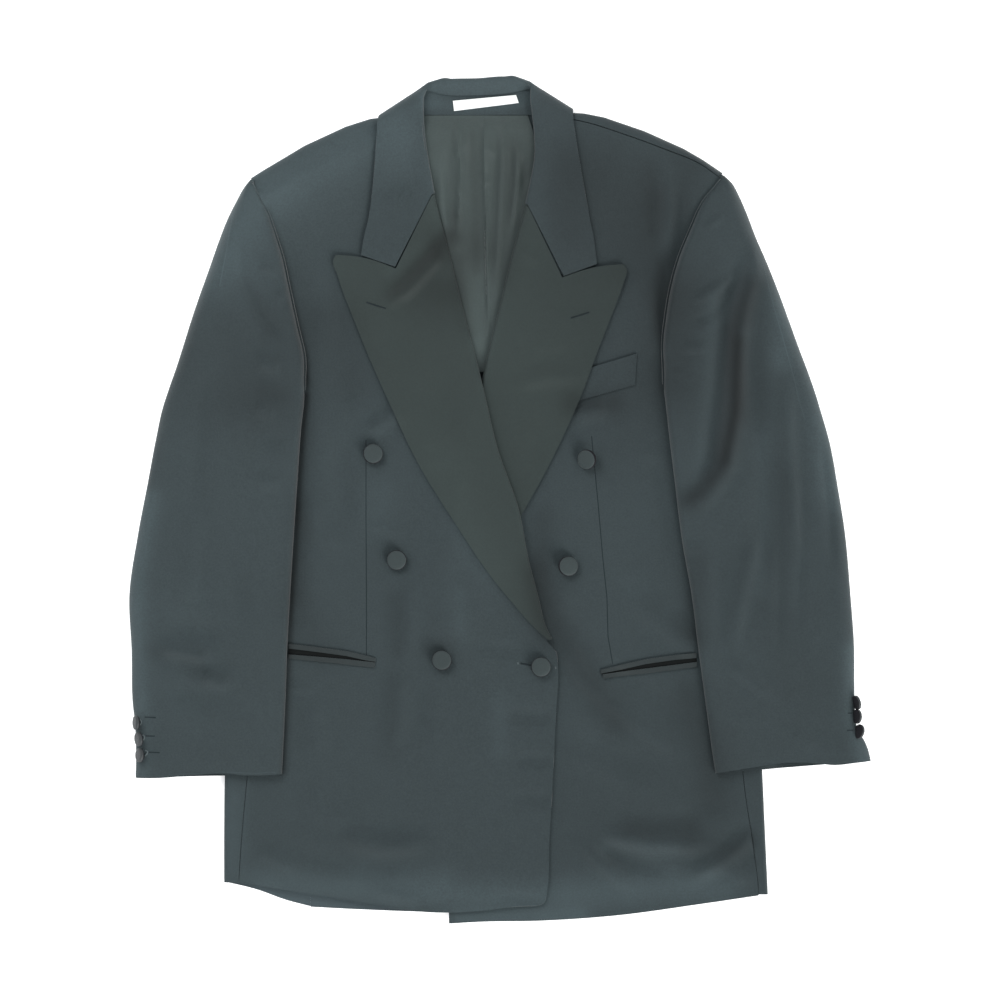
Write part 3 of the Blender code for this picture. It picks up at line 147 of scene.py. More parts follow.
LAPEL_UNDER_ROWS = (
    # roll_x, roll_y, edge_x, edge_y, drop, bow
    (-57.5, -122, -46.5, -125, 0, 0),
    (-54.5, -105, -36, -109, 0, 0),
    (-47.4, -62, -9, -68, 0, 0),
    (-39.3, -12, 18, -21, 0, 0),
    (-29, 52, 51, 39, 0, 0),
    (-18, 120, 80.5, 103, 0, 0),
    (-6.7, 169, 98, 150, 0, 0),
    (1.4, 201, 109, 178, 2, 0),
    (9.6, 236, 117.5, 200, 14, 0.5),
    (17.8, 266.5, 123.5, 217, 30, 2),
    (22, 281, 127, 229, 39, 3),
    (25.8, 294.2, 123.5, 235.7, 44.5, 3.2),
)
# Share of the way from side to edge, and how far the hem hangs below or the shoulder rises above a line.
UNDER_HEM = ((0, 0), (0.2, 3.5), (0.45, 7), (0.7, 5.5), (0.9, 1), (1, 0))
UNDER_CROWN = ((0, 0), (0.1, 6), (0.3, 8), (0.5, 8), (0.79, 4.2), (0.93, -2), (1, -9))
UNDER_COLUMNS = 78
# Painted light and shade: the cloth's colour is made paler or darker along these lines, where edges and
# folds catch the light or lie in shade.
PAINTED_LIGHT_LINES = (
    # half_width, how much paler (a painted highlight; below zero, darker: painted shade), points along it
    (13, 0.46, (-72, 404), (-60, 414), (-20, 415), (22, 415)),
    (30, 0.36, (-104, 376), (-150, 354), (-204, 322)),
    (32, 0.42, (-240, 300), (-266, 262), (-288, 232)),
    (12, 0.56, (-350, 0), (-366, -80), (-364, -180)),
    (10, 0.50, (-360, -200), (-360, -270)),
    (34, 0.08, (-320, -110), (-324, -220)),
    (9, 0.18, (-40, -96), (-40, -146)),
    (17, 0.34, (300, 196), (322, 96), (338, 0)),
    (13, 0.40, (283, 206), (280, 140)),
    (13, 0.14, (322, 76), (320, 10)),
    (10, 0.50, (352, -150), (352, -215), (366, -268)),
    (16, 0.30, (-268, -296), (-272, -374)),
    (17, 0.46, (-240, -384), (-120, -394), (40, -398)),
    (15, 0.20, (-140, -374), (-60, -378)),
    (20, 0.52, (70, -396), (160, -388), (220, -388)),
    (10, 0.56, (-40, -420), (80, -418)),
    (24, 0.16, (-56, 40), (-38, -20), (-14, -70)),
    (20, 0.16, (-96, 336), (-100, 366)),
    (58, -0.36, (104, 318), (136, 262)),
    (30, -0.24, (190, 336), (170, 300)),
    (40, -0.38, (176, 196), (172, 120)),
    (30, -0.28, (-38, 250), (-58, 214)),
    (12, -0.26, (-40, 240), (-28, 170)),
    (15, -0.20, (44, -20), (40, -80), (46, -140)),
    (50, -0.10, (-110, 256), (-80, 200)),
    (9, -0.28, (-48, 264), (-60, 244)),
    (44, -0.12, (60, 220), (100, 160), (120, 70)),
    (18, 0.14, (-120, 6), (-124, -24)),
    (15, -0.12, (-200, -8), (-204, -90)),
    (30, -0.10, (240, -56), (300, -180)),
    (22, -0.12, (-282, 196), (-262, 140), (-262, 100)),
    (14, 0.22, (-18, 226), (-20, 160)),
    (13, -0.24, (-60, 262), (-78, 236), (-104, 208)),
    (44, -0.22, (-214, 170), (-226, 104)),
    (34, -0.14, (-312, 146), (-300, 96)),
    (28, -0.20, (-160, 180), (-150, 120)),
    (12, -0.48, (252, 214), (234, 168), (234, 84), (220, 30), (190, 0)),
    (24, -0.16, (262, 176), (256, 96)),
    (22, -0.14, (282, 20), (276, -50)),
    (16, -0.26, (36, -70), (46, -110), (84, -170), (116, -222)),
    (13, -0.22, (196, -60), (196, -132)),
    (20, -0.24, (190, -200), (212, -260), (214, -300)),
    (20, -0.20, (236, -352), (200, -346)),
    (14, -0.30, (74, 96), (112, 96)),
    (11, -0.18, (-70, -146), (-46, -148)),
    (20, -0.14, (-180, -152), (-200, -110)),
    (16, -0.22, (14, 350), (10, 280), (0, 226)),
    (22, -0.14, (64, 340), (62, 270)),
    (60, -0.07, (80, -330), (200, -250)),
    (3.4, -0.55, (-217, -272), (-213, -200), (-210, -120), (-205, -40), (-201, 25), (-197, 74), (-194, 104)),
    (4.0, -0.35, (-194, 116), (-196, 143), (-207, 194), (-217, 242), (-233, 289)),
    (9, 0.16, (214, 196), (210, 130), (206, 70), (196, 20)),
    (6, -0.20, (239, 160), (238, 100), (226, 40)),
    (8, 0.14, (262, 60), (264, -20), (260, -90)),
    (7, 0.16, (-52, 276), (-84, 250), (-110, 226)),
    (9, -0.24, (-46, 282), (-66, 258)),
    (12, -0.10, (150, 330), (154, 270)),
    (10, 0.12, (168, 330), (166, 262)),
    (11, -0.14, (166, 236), (160, 168)),
    (12, -0.20, (132, -330), (190, -326)),
    (10, 0.16, (110, -344), (170, -352)),
    (9, -0.14, (222, -366), (250, -340)),
    (12, -0.14, (150, -104), (196, -140)),
    (12, 0.10, (128, -84), (168, -116)),
    (9, -0.14, (-350, -152), (-300, -158)),
    (8, -0.12, (-306, -172), (-276, -180)),
    (10, -0.16, (-106, -100), (-104, -150)),
    (14, -0.10, (-106, -180), (-108, -250)),
    (14, -0.10, (-150, -350), (-80, -352)),
    (10, -0.12, (-250, 214), (-230, 170)),
    (10, 0.10, (-264, 240), (-240, 214)),
    (9, -0.10, (-236, 110), (-218, 104)),
    (10, 0.16, (0, -200), (0, -250)),
    (12, 0.18, (-62, 330), (-60, 280), (-52, 230)),
    (5, -0.16, (-28, 366), (-25, 300), (-22, 230)),
    (7, 0.18, (-40, 250), (-26, 190), (-18, 150)),
    (6, 0.3, (-74, 396), (-20, 392), (26, 398)),
)
# The wave pattern's scale for one yarn a metre, and how much of the weave's relief is loose fibre.
WAVE_SCALE = 0.314
FUZZ_SHARE = 0.8
# Uneven dye: broad clouds, fine grain and small patches, as size in millimetres and detail.
SPOT_SIZES = ((90.0, 3.0), (1.8, 1.5), (9.0, 2.0))
SHEEN_SPREAD = 0.5
DULL_RANGE = 0.12
# A fold sharper than this many degrees shows as an edge.
EDGE_ANGLE = 50

surfaces = {}


def smooth(share):
    """0 to 1 with level ends."""
    share = np.clip(share, 0.0, 1.0)
    return share * share * (3.0 - 2.0 * share)


def filled(table, step=ROW_STEP):
    """The rows of a table with smooth rows added between them, about one step apart."""
    rows = np.array(table, float)
    legs = np.linalg.norm(np.diff(rows[:, :2], axis=0), axis=1)
    if rows.shape[1] > 3:
        legs = np.maximum(legs, np.linalg.norm(np.diff(rows[:, 2:4], axis=0), axis=1))
    slopes = np.diff(rows, axis=0) / legs[:, None]
    tangents = np.vstack([slopes[:1], slopes])
    for i in range(1, len(rows) - 1):
        tangents[i] = (legs[i - 1] * slopes[i] + legs[i] * slopes[i - 1]) / (legs[i - 1] + legs[i])
    found = []
    for i, leg in enumerate(legs):
        count = max(1, round(leg / step))
        for k in range(count):
            t = k / count
            found.append(
                (2 * t**3 - 3 * t**2 + 1) * rows[i]
                + (t**3 - 2 * t**2 + t) * leg * tangents[i]
                + (3 * t**2 - 2 * t**3) * rows[i + 1]
                + (t**3 - t**2) * leg * tangents[i + 1]
            )
    found.append(rows[-1])
    return np.array(found)


def flowing(table, at):
    """Values at these places of a smooth line through the (place, value) points of a table."""
    place, value = np.array(table, float).T
    legs = np.diff(place)
    slope = np.diff(value) / legs
    inner = (legs[:-1] * slope[1:] + legs[1:] * slope[:-1]) / (legs[:-1] + legs[1:])
    tangent = np.concatenate([slope[:1], inner, slope[-1:]])
    i = np.clip(np.searchsorted(place, at, side="right") - 1, 0, len(legs) - 1)
    t = np.clip((at - place[i]) / legs[i], 0.0, 1.0)
    return (
        (2 * t**3 - 3 * t**2 + 1) * value[i]
        + (t**3 - 2 * t**2 + t) * legs[i] * tangent[i]
        + (3 * t**2 - 2 * t**3) * value[i + 1]
        + (t**3 - t**2) * legs[i] * tangent[i + 1]
    )


def between(start, end, shares):
    """Rows of points from start to end, at these shares of the way."""
    return start[:, None, :] + (end - start)[:, None, :] * np.asarray(shares)[None, :, None]


def shoulder_y(x):
    """Height of the shoulder outline in plan at x."""
    line = np.concatenate([np.array(SHOULDER_LEFT, float), np.array(SHOULDER_RIGHT[::-1], float)])
    return np.interp(x, line[:, 0], line[:, 1])


def shoulder_rise(x, y):
    """How far the padded shoulder lifts the front above its level lower down."""
    out = np.clip((np.abs(x - NECK_CENTRE_X) - PAD_START_X) / PAD_WIDTH, 0.0, 1.0)
    most = RISE_AT_NECK + (RISE_AT_SLEEVE - RISE_AT_NECK) * out
    start = shoulder_y(x) - SLOPE_LENGTH
    return most * smooth((y - start) / (SLOPE_LENGTH - SHOULDER_LEVEL))


def neck_lift(x, y):
    """How far the collar that lies under the back lifts it."""
    across = smooth((NECK_LIFT_HALF - np.abs(x - NECK_CENTRE_X)) / NECK_LIFT_SLOPE)
    return NECK_LIFT * across * smooth((y - NECK_LIFT_Y) / NECK_LIFT_SLOPE)


def front_top(x, y):
    """Height of the smooth front, without its creases."""
    return FRONT_TOP + shoulder_rise(x, y)


def front_plan(table, rolls, hem, crown, columns):
    """Plan of a front, rows from the hem up and columns from the side to the edge or the lapel's roll."""
    rows = filled(table)
    side = rows[:, 0:2]
    edge = rows[:, 2:4]
    line = filled(rolls)[:, 0:2]
    on_roll = (rows[:, 4] > 0.5) & (edge[:, 1] > line[0, 1]) & (edge[:, 1] < line[-1, 1])
    edge[on_roll, 0] = np.interp(edge[on_roll, 1], line[:, 1], line[:, 0])
    inward = side - edge
    inward /= np.linalg.norm(inward, axis=1, keepdims=True)
    edge = edge + inward * (np.clip(rows[:, 4:5], 0.0, 1.0) * (ROLL_RADIUS + 2 * SEAM_GAP))
    shares = np.linspace(0.0, 1.0, columns)
    plan = between(side, edge, shares)
    sag = flowing(hem, shares)
    rise = flowing(crown, shares)
    middle = rows[:, [1, 3]].mean(axis=1)
    near_hem = smooth(1.0 - (middle - middle[0]) / HEM_FADE)
    near_shoulder = smooth(1.0 - (middle[-1] - middle) / CROWN_FADE)
    plan[..., 1] += near_shoulder[:, None] * rise[None, :] - near_hem[:, None] * sag[None, :]
    return plan


def shoulder_turn(row, outline, low, angles):
    """Rows that carry a shoulder edge round its fold and under it."""
    found = []
    for angle in angles:
        a = math.radians(angle)
        ring = row.copy()
        ring[:, :2] = row[:, :2] + (outline - row[:, :2]) * math.sin(a)
        middle = (row[:, 2] + low) / 2
        ring[:, 2] = middle + (row[:, 2] - middle) * math.cos(a)
        found.append(ring)
    return np.array(found)


def near_line(x, y, line):
    """How far each place is from a line of points, and how far along the line its nearest point is."""
    points = np.array(line, float)
    distance = np.hypot(x - points[0, 0], y - points[0, 1])
    nearest = np.full(distance.shape, 0.5)
    legs = np.linalg.norm(np.diff(points, axis=0), axis=1)
    run = np.concatenate([[0.0], np.cumsum(legs)])
    for i, leg in enumerate(legs):
        step = (points[i + 1] - points[i]) / leg
        at = np.clip((x - points[i, 0]) * step[0] + (y - points[i, 1]) * step[1], 0.0, leg)
        off = np.hypot(x - points[i, 0] - at * step[0], y - points[i, 1] - at * step[1])
        nearest = np.where(off <= distance, (run[i] + at) / run[-1], nearest)
        distance = np.minimum(off, distance)
    return distance, nearest


def woven(name, colour, roughness, gloss, sheen, yarn, depth, uneven, grain):
    """Cloth of crossing yarns this far apart, dyed a little unevenly, with a fine grain and with painted
    light and shade.
    """
    material = bpy.data.materials.new(name)
    material.use_nodes = True
    nodes = material.node_tree.nodes
    link = material.node_tree.links.new
    shader = nodes["Principled BSDF"]
    shader.inputs["Specular IOR Level"].default_value = gloss
    shader.inputs["Sheen Weight"].default_value = sheen
    shader.inputs["Sheen Roughness"].default_value = SHEEN_SPREAD

    def scaled(value, factor, offset):
        """The value times the factor plus the offset: each is a number or another node's output."""
        step = nodes.new("ShaderNodeMath")
        step.operation = "MULTIPLY_ADD"
        for number, part in enumerate((value, factor, offset)):
            if isinstance(part, float):
                step.inputs[number].default_value = part
            else:
                link(part, step.inputs[number])
        return step.outputs[0]

    lie = nodes.new("ShaderNodeUVMap")
    lie.uv_map = "cloth"
    crossing = nodes.new("ShaderNodeMath")
    crossing.operation = "ADD"
    for number, direction in enumerate(("X", "Y")):
        yarns = nodes.new("ShaderNodeTexWave")
        yarns.bands_direction = direction
        yarns.inputs["Scale"].default_value = WAVE_SCALE / (yarn * MM)
        yarns.inputs["Distortion"].default_value = 1.2
        yarns.inputs["Detail"].default_value = 1.0
        yarns.inputs["Detail Scale"].default_value = 0.6
        link(lie.outputs["UV"], yarns.inputs["Vector"])
        link(yarns.outputs["Fac"], crossing.inputs[number])
    place = nodes.new("ShaderNodeTexCoord")
    spots = []
    for size, detail in SPOT_SIZES:
        spot = nodes.new("ShaderNodeTexNoise")
        spot.inputs["Scale"].default_value = 1.0 / (size * MM)
        spot.inputs["Detail"].default_value = detail
        link(place.outputs["Object"], spot.inputs["Vector"])
        spots.append(spot.outputs["Fac"])
    bump = nodes.new("ShaderNodeBump")
    bump.inputs["Distance"].default_value = depth * MM
    link(scaled(spots[1], FUZZ_SHARE, crossing.outputs[0]), bump.inputs["Height"])
    link(bump.outputs["Normal"], shader.inputs["Normal"])
    strengths = (uneven, grain, uneven * 0.7)
    level = 1.0 - sum(strengths) / 2
    for spot, strength in zip(spots, strengths):
        level = scaled(spot, strength, level)
    # Painted light and shade: the colour is made paler or darker by each point's painted-light value.
    painted_light = nodes.new("ShaderNodeAttribute")
    painted_light.attribute_name = "painted_light"
    dye = nodes.new("ShaderNodeHueSaturation")
    dye.inputs["Color"].default_value = (*colour, 1.0)
    link(scaled(painted_light.outputs["Fac"], level, level), dye.inputs["Value"])
    link(dye.outputs["Color"], shader.inputs["Base Color"])
    dull = scaled(spots[1], DULL_RANGE, roughness - DULL_RANGE / 2)
    link(dull, shader.inputs["Roughness"])
    return material


def shell(name, outer, inner, material):
    """A closed wall of cloth between two grids of points, rows by columns, with its weave along X and Y."""
    rows, columns = outer.shape[:2]
    count = rows * columns
    cell = np.arange(count).reshape(rows, columns)
    quads = np.stack([cell[:-1, :-1], cell[:-1, 1:], cell[1:, 1:], cell[1:, :-1]], axis=-1).reshape(-1, 4)
    rim = np.concatenate([cell[0, :-1], cell[:-1, -1], cell[-1, :0:-1], cell[:0:-1, 0]])
    after = np.roll(rim, -1)
    sides = np.stack([rim, rim + count, after + count, after], axis=-1)
    faces = np.concatenate([quads, quads[:, ::-1] + count, sides])
    points = np.concatenate([outer.reshape(-1, 3), inner.reshape(-1, 3)])
    a, b, c, d = (points[faces[:, k]] for k in range(4))
    volume = np.einsum("ij,ij->", a, np.cross(b, c)) + np.einsum("ij,ij->", a, np.cross(c, d))
    if volume < 0:
        faces = faces[:, ::-1]
    mesh = bpy.data.meshes.new(name)
    mesh.from_pydata((points * MM).tolist(), [], faces.tolist())
    layer = mesh.uv_layers.new(name="cloth")
    layer.data.foreach_set("uv", (points[faces.ravel(), :2] * MM).astype(np.float32).ravel())
    # Painted light and shade: each point is paler or darker near the lines of painted light.
    paler = np.zeros(len(points))
    for half_width, most, *line in PAINTED_LIGHT_LINES:
        distance, _ = near_line(points[:, 0], points[:, 1], line)
        paler += most * np.exp(-((distance / half_width) ** 2))
    mesh.attributes.new("painted_light", "FLOAT", "POINT").data.foreach_set("value", paler.astype(np.float32))
    mesh.shade_smooth()
    mesh.set_sharp_from_angle(angle=math.radians(EDGE_ANGLE))
    mesh.materials.append(material)
    made = bpy.data.objects.new(name, mesh)
    bpy.context.scene.collection.objects.link(made)
    surfaces[name] = BVHTree.FromPolygons(points.tolist(), faces.tolist())
    return made


def sewn(piece, node):
    """The piece belongs to the jacket, in the place of this solid."""
    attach(piece, "root")
    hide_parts(node)


def unit_normals(grid):
    """Unit normals of a grid of points, all to the same side of it."""
    normals = np.cross(np.gradient(grid, axis=1), np.gradient(grid, axis=0))
    return normals / np.maximum(np.linalg.norm(normals, axis=2, keepdims=True), 1e-9)


def back_plan(table, peak, columns):
    """Plan of a half of the back, rows from the hem up and columns from the outer end to the centre."""
    rows = filled(table, BACK_STEP)
    shares = np.linspace(0.0, 1.0, columns)
    plan = between(rows[:, 0:2], rows[:, 2:4], shares)
    plan[..., 1] += rows[:, 4:5] * np.interp(shares, *np.array(peak, float).T)
    return plan


wool = woven("worsted_wool", (0.0256, 0.0360, 0.0392), 0.86, 0.16, 0.14, 0.6, 0.12, 0.16, 0.5)

plan = back_plan(BACK_LEFT_ROWS, BACK_LEFT_PEAK, BACK_LEFT_COLUMNS)
bottom = neck_lift(plan[..., 0], plan[..., 1])
back_left = shell("back_left_cloth", np.dstack([plan, bottom]), np.dstack([plan, bottom + BACK_WALL]), wool)
sewn(back_left, "back_left")
# The back's inside, and so the turned-up hem that shows below the front on the left, is a paler copy of the
# wool: painted light that lifts the hem out of the shade of the front's edge above it.
back_inside_painted_light = woven("back_inside_painted_light", (0.038, 0.052, 0.058), 0.8, 0.16, 0.14, 0.6, 0.10, 0.12, 0.4)
back_left.data.materials.append(back_inside_painted_light)
for face in back_left.data.polygons:
    face.material_index = int(face.normal.z > 0.5)

# At the shoulder the right half ends this far above the front's edge.
SHOULDER_SEAM_GAP = 1.6 * SEAM_GAP
under_plan = front_plan(UNDER_ROWS, LAPEL_UNDER_ROWS, UNDER_HEM, UNDER_CROWN, UNDER_COLUMNS)
front_end = under_plan[-1, ::-1]
plan = back_plan(BACK_RIGHT_ROWS, BACK_RIGHT_PEAK, BACK_RIGHT_COLUMNS)
at_seam = plan[-1, :, 0] > NECK_POINT_RIGHT_X
seam_y = np.interp(plan[-1, at_seam, 0], front_end[:, 0], front_end[:, 1])
plan[-1, at_seam, 1] = seam_y + SHOULDER_SEAM_GAP
flat = np.dstack([plan, neck_lift(plan[..., 0], plan[..., 1])])
last = flat[-1]
outward = (shoulder_y(last[:, 0]) - last[:, 1]) / SHOULDER_OUT_RATE
outline = last[:, :2] + outward[:, None] * np.array([SHOULDER_OUT_X, SHOULDER_OUT_Y])
over = shoulder_turn(last, outline, front_top(last[:, 0], last[:, 1]), range(TURN_STEP, 181, TURN_STEP))
for number, ring in enumerate(over, 1):
    ring[~at_seam] = last[~at_seam]
    ring[~at_seam, 1] += NECK_EDGE_WIDTH * number / len(over)
outer = np.concatenate([flat, over])
normals = unit_normals(outer)
if normals[: len(flat), :, 2].sum() > 0:
    normals = -normals
normals[-1, at_seam] = (0.0, 0.0, 1.0)
back_right = shell("back_right_cloth", outer, outer - normals * BACK_WALL, wool)
sewn(back_right, "back_right")

# ------------------------------------------------------------------------------------------------------
# Lining. Two halves of thin grey-green satin, seamed down the middle of the back. It shows in the neck
# opening only, where it lies loose on the backs, gathered into soft upright crumples.
# ------------------------------------------------------------------------------------------------------
LINING_WALL = 1.0
LINING_SEAM_GAP = 0.04
LINING_GATHER = 2.6
LINING_CREASE_SHARE = 2.0
LINING_ROW_STEP = 3.0
LINING_COLUMNS = 30
LINING_REST_REACH = 3.0
NECK_SEAM_Y = 385.0
NECK_SEAM_FADE = 16.0
# How much deeper all creases are laid than their tables say, so that they show in soft light.
CREASE_STRENGTH = 1.7
# A crease fades towards its ends: where its fade starts, and how fast it rises along the line.
CREASE_END = 0.3
CREASE_RISE = 3.0
LINING_ROWS = (
    # y, centre seam, outer end of the left half, of the right half
    (384.6, -16, -77, 28),
    (365, -16, -78, 34),
    (350, -15.9, -79, 36.5),
    (330, -15.7, -79, 37),
    (300, -15.4, -76, 34),
    (255, -15, -66, 22),
    (205, -13.5, -54, 10),
    (165, -11.5, -42, 2),
    (128, -12, -33, -4),
)
# Creases here and below: depth is how far a trough sinks, and is below zero for a ridge.
LINING_CREASES = (
    # half_width, depth, points along it
    (4.0, -0.9, (-43, 380), (-42, 350), (-39, 338), (-40, 300), (-42, 268)),
    (10.0, 1.2, (-28, 366), (-25, 310), (-22, 240), (-18, 170)),
    (6.0, 0.6, (-53, 356), (-50, 320), (-50, 280)),
    (5.0, -0.6, (-60, 334), (-57, 290), (-51, 250)),
    (3.6, -0.4, (-33, 376), (-34, 352)),
    (2.4, -0.5, (-15.6, 384), (-15, 330), (-13, 250), (-11.6, 165)),
    (4.0, 0.4, (-21, 382), (-20, 340)),
    (7.0, 0.6, (-6, 374), (-5, 330), (-7, 270), (-9, 210)),
    (5.0, -0.7, (3, 372), (2, 330), (-1, 270), (-5, 214)),
    (5.0, 0.4, (11, 366), (11, 322), (6, 272)),
    (4.4, -0.6, (18, 356), (17, 316), (11, 270)),
    (5.0, 0.4, (25, 344), (23, 310)),
    (3.4, 0.4, (-32, 334), (-24, 326), (-14, 328)),
    (3.0, -0.4, (-30, 322), (-20, 316), (-8, 320)),
    (3.2, 0.3, (-34, 310), (-26, 304)),
    (3.4, -0.3, (-12, 352), (-4, 344)),
    (3.4, 0.3, (-28, 262), (-20, 256)),
)
# Heights, in millimetres, that are under and over every piece.
NOTHING_BELOW = -1.0
WELL_ABOVE = 100.0


def support(x, y, below, reach=0.0):
    """Highest point of the pieces below, under each place and within reach of it, or else NOTHING_BELOW."""
    turns = np.linspace(0.0, 2 * math.pi, 9)[:8]
    moves = [(0.0, 0.0)]
    if reach:
        moves += [(reach * math.cos(a), reach * math.sin(a)) for a in turns]
    down = Vector((0, 0, -1))
    found = np.full(x.shape, NOTHING_BELOW)
    for index in np.ndindex(x.shape):
        for move_x, move_y in moves:
            start = Vector((x[index] + move_x, y[index] + move_y, WELL_ABOVE))
            for name in below:
                hit = surfaces[name].ray_cast(start, down)[0]
                if hit is not None and hit.z > found[index]:
                    found[index] = hit.z
    return found


def creased(x, y, table):
    """Height of listed ridges and troughs, each along a line and fading towards its ends."""
    height = np.zeros_like(x)
    for half_width, depth, *line in table:
        distance, place = near_line(x, y, line)
        fade = smooth(CREASE_END + CREASE_RISE * np.minimum(place, 1.0 - place))
        share = (distance / half_width) ** 2
        height -= CREASE_STRENGTH * depth * fade * (1.0 - share) * np.exp(-share)
    return height


lining_satin = woven("lining_satin", (0.0320, 0.0430, 0.0420), 0.55, 0.2, 0.05, 0.35, 0.03, 0.12, 0.3)
for side, name, cut, area in (
    (-1, "lining_left", (0.070, 0.263), 0.0132),
    (1, "lining_right", (0.060, 0.263), 0.0096),
):
    rows = filled(LINING_ROWS, LINING_ROW_STEP)
    seam = rows[:, 1] + side * LINING_SEAM_GAP / 2
    edge = rows[:, 2] if side < 0 else rows[:, 3]
    shares = np.linspace(0.0, 1.0, LINING_COLUMNS)
    x = seam[:, None] + (edge - seam)[:, None] * shares[None, :]
    y = np.repeat(rows[:, :1], len(shares), axis=1)
    low = support(x, y, ["back_left_cloth", "back_right_cloth"], LINING_REST_REACH) + LAY_GAP
    gather = LINING_GATHER + LINING_CREASE_SHARE * creased(x, y, LINING_CREASES)
    low += np.maximum(gather, 0.0) * smooth((NECK_SEAM_Y - y) / NECK_SEAM_FADE)
    half = shell(name + "_cloth", np.dstack([x, y, low + LINING_WALL]), np.dstack([x, y, low]), lining_satin)
    sewn(half, name)

# ------------------------------------------------------------------------------------------------------
# Side bodies. A strip of wool under each arm, folded round the edge of the body: it joins the front's
# side seam above to the back's side seam on the table.
# ------------------------------------------------------------------------------------------------------
ARMHOLE_LEFT = ((-194, 115), (-195, 143), (-201, 170), (-206.3, 194), (-211.4, 218), (-216.6, 242),
                (-223.5, 264.4), (-232, 288.5), (-242, 307.5))
OVER_ROWS = (
    # side_x, side_y, edge_x, edge_y, 1 where the lapel's roll takes the edge's place
    (-261, -382.5, 38, -405.4, 0),
    (-260.8, -379, 44.2, -402.5, 0),
    (-260.4, -372, 46.4, -394, 0),
    (-257.5, -330, 49.4, -340, 0),
    (-252.5, -275, 52.5, -285, 0),
    (-248, -210, 56, -213, 0),
    (-247, -170, 58, -170, 0),
    (-246, -152, 56, -152, 0),
    (-245.6, -140, 51.5, -141, 1),
    (-243, -90, 39.5, -100, 1),
    (-239, -20, 22, -25, 1),
    (-236, 40, 0.7, 43, 1),
    (-232, 82, -14, 99, 1),
    (-213, 96, -22, 133, 1),
    (*ARMHOLE_LEFT[0], -31.2, 169, 1),
    (*ARMHOLE_LEFT[1], -39, 200, 1),
    (*ARMHOLE_LEFT[2], -47, 232, 1),
    (*ARMHOLE_LEFT[4], -58.5, 275, 1),
    (*ARMHOLE_LEFT[6], -67.5, 316, 1),
    (*ARMHOLE_LEFT[7], -74, 350, 1),
    (*ARMHOLE_LEFT[8], -77, 389, 1),
)
SIDE_LEFT_ROWS = (
    # y, fold_x, back_x
    (-382.5, -276, -190),
    (-330, -276, -190),
    (-275, -275.3, -190),
    (-145, -266, -188),
    (-20, -258, -186),
    (62, -256, -186),
)
SIDE_RIGHT_ROWS = (
    # y, fold_x, back_x
    (-394.5, 268, 186),
    (-330, 265, 186),
    (-275, 262.5, 186),
    (-145, 254, 184),
    (-20, 246, 180),
    (66, 244, 178),
)
# Share of the way from the fold to the back's seam, and how far the hem hangs down there.
SIDE_LEFT_HEM = ((0, 0), (0.35, 7), (0.7, 17.5), (1, 24))
SIDE_RIGHT_HEM = ((0, 0), (1, 4.5))
SIDE_HEM_FADE = 60.0
SIDE_ROW_STEP = 12.0
SIDE_TURN_STEP = 18
SIDE_TOP_SHARES = (0.0, 0.35, 0.7)
SIDE_LOW_SPANS = 8
BACK_SEAM_LAP = 0.45


def side_body(side, table, hem, front_table):
    """Outer and inner grid of a side body, from its seam to the front, round the fold, to the back."""
    y, fold, back = filled([(row[0], 0, *row) for row in table], SIDE_ROW_STEP)[:, 2:].T
    front = filled(front_table)
    seam = np.interp(y, front[:, 1], front[:, 0]) + side * SEAM_GAP
    back = back - side * BACK_SEAM_LAP
    middle = FRONT_TOP / 2
    centre = fold - side * middle
    grids = []
    for far in (middle, middle - BACK_WALL):
        top = np.full_like(y, middle + far)
        grid = [np.column_stack([seam + (centre - seam) * share, y, top]) for share in SIDE_TOP_SHARES]
        for angle in range(0, 181, SIDE_TURN_STEP):
            a = math.radians(angle)
            height = np.full_like(y, middle + far * math.cos(a))
            grid.append(np.column_stack([centre + side * far * math.sin(a), y, height]))
        for share in np.linspace(0.0, 1.0, SIDE_LOW_SPANS + 1)[1:]:
            hang = flowing(hem, share) * smooth(1.0 - (y - y[0]) / SIDE_HEM_FADE)
            low = np.full_like(y, middle - far)
            grid.append(np.column_stack([centre + (back - centre) * share, y - hang, low]))
        grids.append(np.stack(grid, axis=1))
    return grids


side_left = shell("side_left_cloth", *side_body(-1, SIDE_LEFT_ROWS, SIDE_LEFT_HEM, OVER_ROWS), wool)
# Its inside faces low down get the same paler copy: painted light against the shade of the front's hem.
side_left.data.materials.append(back_inside_painted_light)
for face in side_left.data.polygons:
    face.material_index = int(face.normal.z > 0.5 and face.center.z < BODY_GAP * MM)
sewn(side_left, "side_left")
side_right = shell("side_right_cloth", *side_body(1, SIDE_RIGHT_ROWS, SIDE_RIGHT_HEM, UNDER_ROWS), wool)
sewn(side_right, "side_right")

# ------------------------------------------------------------------------------------------------------
# Front that lies under, on the viewer's right. Wool over canvas, with a pad at the shoulder; its edge
# and its lower corner are below the other front. One dart runs down from the chest to the pocket.
# ------------------------------------------------------------------------------------------------------
PAD_SHARE = 0.9
# The pad ends this far before the shoulder's fold, and thins out over the second length.
PAD_END = 8.0
PAD_THINNING = 22.0
